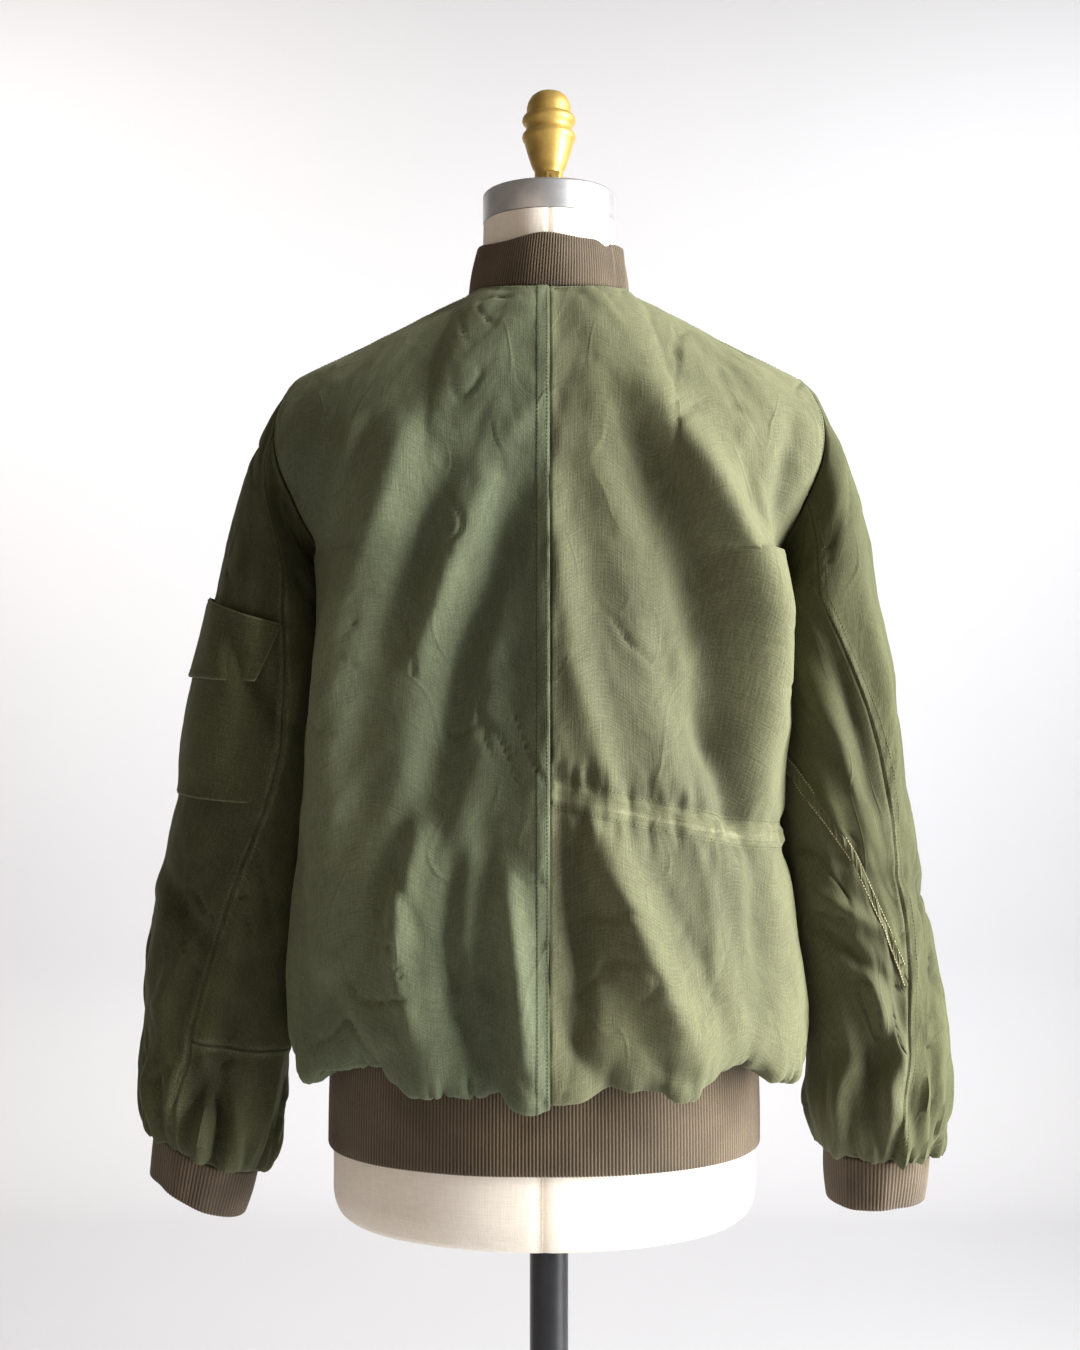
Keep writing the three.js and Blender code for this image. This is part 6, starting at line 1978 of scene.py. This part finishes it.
FORM_RINGS = (
    (757, 150, 94, 4), (760, 163, 106, 4), (768, 170, 111, 4), (784, 173, 114, 4), (905, 171, 113.5, 4),
    (960, 166, 112, 3), (1050, 148, 102, 2), (1130, 138, 95, 1), (1220, 148, 102, 0), (1320, 160, 108, 0),
    (1400, 166, 98, 0), (1440, 166, 82, 0), (1462, 150, 68, 0), (1478, 118, 60, 0), (1490, 78, 56, 0),
    (1500, 60, 55.5, 0), (1540, 55, 54.5, 0), (1570.7, 54, 54, 0),
)


@dataclass
class DressForm:
    """Padded torso under cream linen, with its seams, neck cap and finial."""

    linen: bpy.types.Material
    aluminium: bpy.types.Material
    gold: bpy.types.Material
    columns: int = 144

    def torso(self, threads: Threads) -> None:
        """Linen torso with a seam at the centre back, the centre front and the sides."""
        heights = np.concatenate([
            757 + 3 * (1 - np.cos(np.linspace(0, math.pi / 2, 6))), np.linspace(761, 800, 18), np.linspace(805, 1450, 40),
            np.linspace(1455, 1508, 24), np.linspace(1511, 1570.7, 26),
        ])
        angle = 2 * np.pi * np.arange(self.columns) / self.columns
        half_width, half_depth, shift = (read_table(FORM_RINGS, c, heights)[:, None] for c in (1, 2, 3))
        x = shift + half_width * np.cos(angle)
        y = half_depth * np.sin(angle)
        seams = np.radians([90, 270, 0, 180])
        gap = np.abs((angle[:, None] - seams + np.pi) % (2 * np.pi) - np.pi)
        arc = gap.min(axis=1)[None] * np.hypot(half_width, half_depth) / math.sqrt(2)
        groove = 0.8 * bell(arc, 1.6)
        out = unit(np.stack([np.cos(angle) * half_depth, np.sin(angle) * half_width], axis=-1))
        z = np.broadcast_to(heights[:, None], x.shape)
        swell = 0.35 * wander(angle * 4 + 0 * z, z / 40, 901)
        points = np.stack([x, y, z], axis=-1)
        points[..., :2] += out * (swell - groove)[..., None]
        size = points.shape[0] * self.columns
        middle = np.array([[4, 0, 755.5], [0, 0, 1570.7]])
        ring = np.arange(self.columns)
        after = (ring + 1) % self.columns
        top = size - self.columns
        caps = [[size, b, a] for a, b in zip(ring.tolist(), after.tolist())]
        caps += [[size + 1, top + a, top + b] for a, b in zip(ring.tolist(), after.tolist())]
        faces = grid_faces(points.shape[0], self.columns, True).tolist() + caps
        # Seam lines, which the linen's finish darkens as painted shade.
        marks = {"edge": np.concatenate([bell(arc, 1.8).ravel(), [0.0, 0.0]])}
        piece = make_mesh("form_torso_linen", np.concatenate([points.reshape(-1, 3), middle]), faces, None, marks)
        turn_outwards(piece)
        piece.data.set_sharp_from_angle(angle=math.radians(70))
        dress(piece, self.linen, "form_linen", "form_torso")
        for degrees in (90, 270):
            column = round(degrees / 360 * self.columns)
            line = points[4:, column] + np.array([0.0, math.copysign(0.5, points[10, column, 1]), 0.0])
            ups = np.tile([0.0, math.copysign(1.0, points[10, column, 1]), 0.0], (len(line), 1))
            threads.add(Path(line + np.array([1.6, 0, 0]), ups))

    def build(self, threads: Threads) -> None:
        """Makes the torso, the cap and the finial."""
        self.torso(threads)
        radius = 54.5
        cap = [(0, 1571.0), (radius - 1.2, 1571.0), (radius - 0.3, 1571.4), (radius, 1572.2), (radius, 1592.6),
               (radius - 0.4, 1593.9), (radius - 1.6, 1594.9), (radius - 3, 1595.0), (20, 1595.0), (0, 1595.0)]
        turned_piece("neck_cap_ring", "neck_cap", cap, 160, self.aluminium, "cap_aluminium")
        finial = [
            (0, 1595.3), (13.2, 1595.3), (13.6, 1596.2), (13.4, 1598), (12.2, 1599.6), (11.7, 1602), (11.8, 1612),
            (12.0, 1615), (13.4, 1617.2), (14.6, 1620), (16.6, 1626), (18.2, 1631), (19.6, 1636), (20.2, 1638.6),
            (21.6, 1640.4), (22.3, 1643), (21.6, 1645.4), (19.9, 1647.4), (18.9, 1649.4), (18.8, 1651), (19.4, 1652.6),
            (21.4, 1654.2), (22.2, 1656.6), (21.6, 1659), (20.2, 1660.8), (18.8, 1661.6), (18.4, 1663), (18.4, 1667),
            (17.2, 1671.6), (14.6, 1676), (10.6, 1679.2), (5.6, 1680.8), (0, 1681.2),
        ]
        turned_piece("finial_knob", "finial", finial, 72, self.gold, "finial_gold")
        self.boss()

    def boss(self) -> None:
        """Square boss with a set screw on the finial's stem."""
        work = bmesh.new()
        made = bmesh.ops.create_cube(work, size=1.0)
        bmesh.ops.scale(work, vec=Vector((12.0, 6.0, 8.6)), verts=made["verts"])
        bmesh.ops.translate(work, vec=Vector((-3.0, 11.0, 1608.0)), verts=made["verts"])
        bmesh.ops.bevel(work, geom=work.edges[:], offset=1.0, segments=3, affect="EDGES")
        hole = bmesh.ops.create_cone(work, cap_ends=True, segments=20, radius1=1.7, radius2=1.5, depth=1.0)
        for vertex in hole["verts"]:
            x, y, z = vertex.co
            vertex.co = Vector((x - 3.0, z + 14.2, y + 1608.0))
        mesh = bpy.data.meshes.new("finial_boss")
        bmesh.ops.recalc_face_normals(work, faces=work.faces)
        bmesh.ops.scale(work, vec=Vector((METRE, METRE, METRE)), verts=work.verts)
        work.to_mesh(mesh)
        work.free()
        mesh.polygons.foreach_set("use_smooth", np.ones(len(mesh.polygons), bool))
        mesh.set_sharp_from_angle(angle=math.radians(50))
        piece = bpy.data.objects.new("finial_boss", mesh)
        bpy.context.scene.collection.objects.link(piece)
        dress(piece, self.gold, "finial_gold")


def turned_piece(name: str, node: str, profile: Sequence[tuple[float, float]], columns: int,
                 material: bpy.types.Material, slot: str) -> bpy.types.Object:
    """A part turned on a lathe.

    Args:
        name: the piece's name.
        node: the CAD node it stands for.
        profile: radius and height from the lower to the upper axis point.
        columns: points round it.
        material: its finish.
        slot: the record's slot.

    Returns:
        The piece.
    """
    rings = np.array(profile[1:-1], float)
    angle = 2 * np.pi * np.arange(columns) / columns
    points = np.stack([rings[:, :1] * np.cos(angle), rings[:, :1] * np.sin(angle),
                       np.broadcast_to(rings[:, 1:], (len(rings), columns))], axis=-1).reshape(-1, 3)
    ends = np.array([[0, 0, profile[0][1]], [0, 0, profile[-1][1]]])
    size, top = len(points), len(points) - columns
    ring = range(columns)
    faces = grid_faces(len(rings), columns, True).tolist()
    faces += [[size, (a + 1) % columns, a] for a in ring]
    faces += [[size + 1, top + a, top + (a + 1) % columns] for a in ring]
    piece = make_mesh(name, np.concatenate([points, ends]), faces)
    turn_outwards(piece)
    piece.data.set_sharp_from_angle(angle=math.radians(38))
    dress(piece, material, slot, node)
    return piece


@dataclass
class Stand:
    """Steel pole on a round base."""

    black: bpy.types.Material

    def build(self) -> None:
        """Makes the pole, and the base with its hub."""
        radius = 15.9
        pole = [(0, 44.3), (radius, 44.3), (radius, 740), (radius, 756.6), (0, 756.6)]
        turned_piece("pole_tube", "pole", pole, 96, self.black, "stand_black")
        base = [(0, 0), (163.5, 0), (165, 1.2), (165, 9.5), (164, 11.8), (161.5, 13.4), (156, 14), (60, 15.5), (40, 18),
                (33, 22), (30, 28), (28, 38), (27, 42.4), (25.6, 44), (0, 44)]
        turned_piece("base_plate", "base", base, 128, self.black, "stand_black")


# Camera and studio

@dataclass(frozen=True)
class PhotoCamera:
    """The photograph's viewpoint: level, behind the jacket, its image taken as 1080 by 1350."""

    distance: float = 1.365
    height: float = 1.2
    aside: float = 0.0074
    focal_pixels: float = 1655.0
    image_height: float = 1350.0

    def build(self) -> None:
        """Makes the camera."""
        data = bpy.data.cameras.new("photo_camera")
        data.sensor_fit = "VERTICAL"
        data.sensor_height = 24.0
        data.lens = self.focal_pixels / self.image_height * 24.0
        data.clip_end = 50.0
        camera = bpy.data.objects.new("photo_camera", data)
        camera.location = (self.aside, self.distance, self.height)
        camera.rotation_euler = (math.radians(90), 0.0, math.radians(180))
        bpy.context.scene.collection.objects.link(camera)
        bpy.context.scene.camera = camera


@dataclass
class Studio:
    """Pale wall and floor, a tall window light from the wearer's right and a soft fill."""

    paint: bpy.types.Material

    def build(self) -> None:
        """Makes the floor with its swept-up wall, and the lights."""
        turn = np.linspace(0.1, math.pi / 2, 14)
        cove, wall = 0.5, -2.75
        run = np.concatenate([
            np.stack([np.linspace(6.0, wall + cove, 24), np.zeros(24)], axis=1),
            np.stack([wall + cove - cove * np.sin(turn), cove - cove * np.cos(turn)], axis=1),
            np.stack([np.full(12, wall), np.linspace(0.7, 6.0, 12)], axis=1),
        ])
        across = np.linspace(-6, 6, 17)
        points = np.stack([np.broadcast_to(across, (len(run), 17)), np.broadcast_to(run[:, :1], (len(run), 17)),
                           np.broadcast_to(run[:, 1:], (len(run), 17))], axis=-1)
        points = points * 1000 - np.array([0, 0, 1.0])
        sweep = make_mesh("studio_sweep", points.reshape(-1, 3), grid_faces(len(run), 17)[:, ::-1])
        sweep.data.materials.append(self.paint)
        self.lamp("window", (-1.65, 0.58, 1.5), (0, 0.0, 1.15), (0.8, 2.4), 165.0, "#ffffff")
        self.lamp("room", (1.3, 2.4, 1.0), (0, 0, 1.0), (2.4, 2.4), 12.0, "#ffe6cf")
        self.lamp("wall_right", (-1.9, -1.3, 3.0), (-0.7, -2.75, 1.2), (1.6, 0.8), 20.0, "#ffffff", 120)
        self.lamp("wall_left", (1.9, -1.3, 3.0), (0.7, -2.75, 1.2), (1.6, 0.8), 23.0, "#fff8f2", 120)
        world = bpy.data.worlds.new("studio_air")
        bpy.context.scene.world = world
        world.use_nodes = True
        air = world.node_tree.nodes["Background"]
        air.inputs["Color"].default_value = linear("#fff0e2")
        air.inputs["Strength"].default_value = 0.2
        bpy.context.scene.view_settings.view_transform = "Standard"

    def lamp(self, name: str, place: tuple, target: tuple, size: tuple, power: float, colour: str,
             spread: float = 180.0) -> None:
        """One soft rectangular light.

        Args:
            name: its name.
            place: where it stands, in metres.
            target: what it points at.
            size: width and height.
            power: watts.
            colour: sRGB hex.
            spread: how wide it shines, in degrees.
        """
        data = bpy.data.lights.new(name, "AREA")
        data.shape = "RECTANGLE"
        data.size, data.size_y = size
        data.energy = power
        data.spread = math.radians(spread)
        data.color = linear(colour)[:3]
        lamp = bpy.data.objects.new(name, data)
        lamp.location = place
        lamp.rotation_euler = (Vector(target) - Vector(place)).to_track_quat("-Z", "Y").to_euler()
        lamp.visible_camera = False
        bpy.context.scene.collection.objects.link(lamp)


# Putting it together

def write_sizes() -> None:
    """Updates the view layer."""
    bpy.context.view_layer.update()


def main() -> None:
    """Builds the camera, the studio and each sub-assembly in order."""
    logging.basicConfig(level=logging.INFO, format="%(message)s")
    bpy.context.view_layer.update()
    PhotoCamera().build()
    Studio(MattPaint("matt pale grey paint", "#cecfd2").make()).build()
    sateen = WashedCotton("washed olive cotton sateen, dark", "#4a513e", "#666d54", "#2b2f20", Weave.SATEEN).make()
    poplin = WashedCotton("washed olive cotton poplin, light", "#4a4b38", "#626348", "#3f3f2a", Weave.POPLIN).make()
    sleeve = WashedCotton("washed olive cotton sateen, sleeve", "#2d2e1b", "#4c4e33", "#26281a", Weave.SATEEN).make()
    patch = WashedCotton("washed olive cotton poplin, sleeve patch", "#383927", "#4b4c35", "#3a3824", Weave.POPLIN,
                         fade_bias=0.1).make()
    knit = RibKnit().make()
    dark_thread = PlainYarn("olive cotton sewing thread", "#3a3f28", "#565b3c").make()
    pale_thread = PlainYarn("pale khaki cotton sewing thread", "#b5ad86", "#8f8a66").make()
    tape = PlainYarn("woven zip tape", "#3d412c", "#585b40").make()
    cream_thread = PlainYarn("cream linen thread", "#e9dfcc", "#cdbfa6").make()
    brass = MetalFinish("aged brass", "#a98c4f", "#5c4a2a", 1.0, (0.3, 0.55), (1.5, 1.5, 1.5), 0.05).make()
    aluminium = MetalFinish("turned aluminium, fine lathe lines", "#c9cacc", "#a4a5a8", 0.85, (0.34, 0.5),
                            (90, 90, 0.5), 0.03).make()
    gold = MetalFinish("gold paint on a cast knob", "#c3a45a", "#92743a", 0.6, (0.34, 0.52), (1.6, 1.6, 1.6), 0.2).make()
    black = MetalFinish("satin black stove enamel on steel", "#17181b", "#212226", 0.2, (0.28, 0.42), (3, 3, 3), 0.03,
                        0.3).make()
    beads, wales = row_tree(), wale_tree()
    seams = Threads("seam_stitches", 3.0, (2.3, 0.55, 0.4), 0.12, 3)
    contrast = Threads("pale_stitches", 2.6, (2.2, 1.1, 0.9), 0.1, 4)
    linen_rows = Threads("form_stitches", 3.4, (2.4, 0.45, 0.3), 0.03, 5)
    BodyPanels(sateen, poplin, seams).build()
    Sleeve("left", LEFT_SLEEVE, (sleeve, "sateen_sleeve"), (sleeve, "sateen_sleeve"), seams).build()
    right = Sleeve("right", RIGHT_SLEEVE, (sleeve, "sateen_sleeve"), (patch, "ripstop_light"), seams)
    right.build()
    right.cross_fell(contrast)
    SleevePocket(LEFT_SLEEVE, sleeve, seams).build()
    KnitParts(knit, wales, seams).build()
    ZipFastening(tape, brass, beads).build()
    DressForm(CreamLinen().make(), aluminium, gold).build(linen_rows)
    Stand(black).build()
    seams.build(beads, dark_thread, "sateen_dark")
    contrast.build(beads, pale_thread, "ripstop_light")
    linen_rows.build(beads, cream_thread, "form_linen")
    write_sizes()


if __name__ == "__main__":
    main()
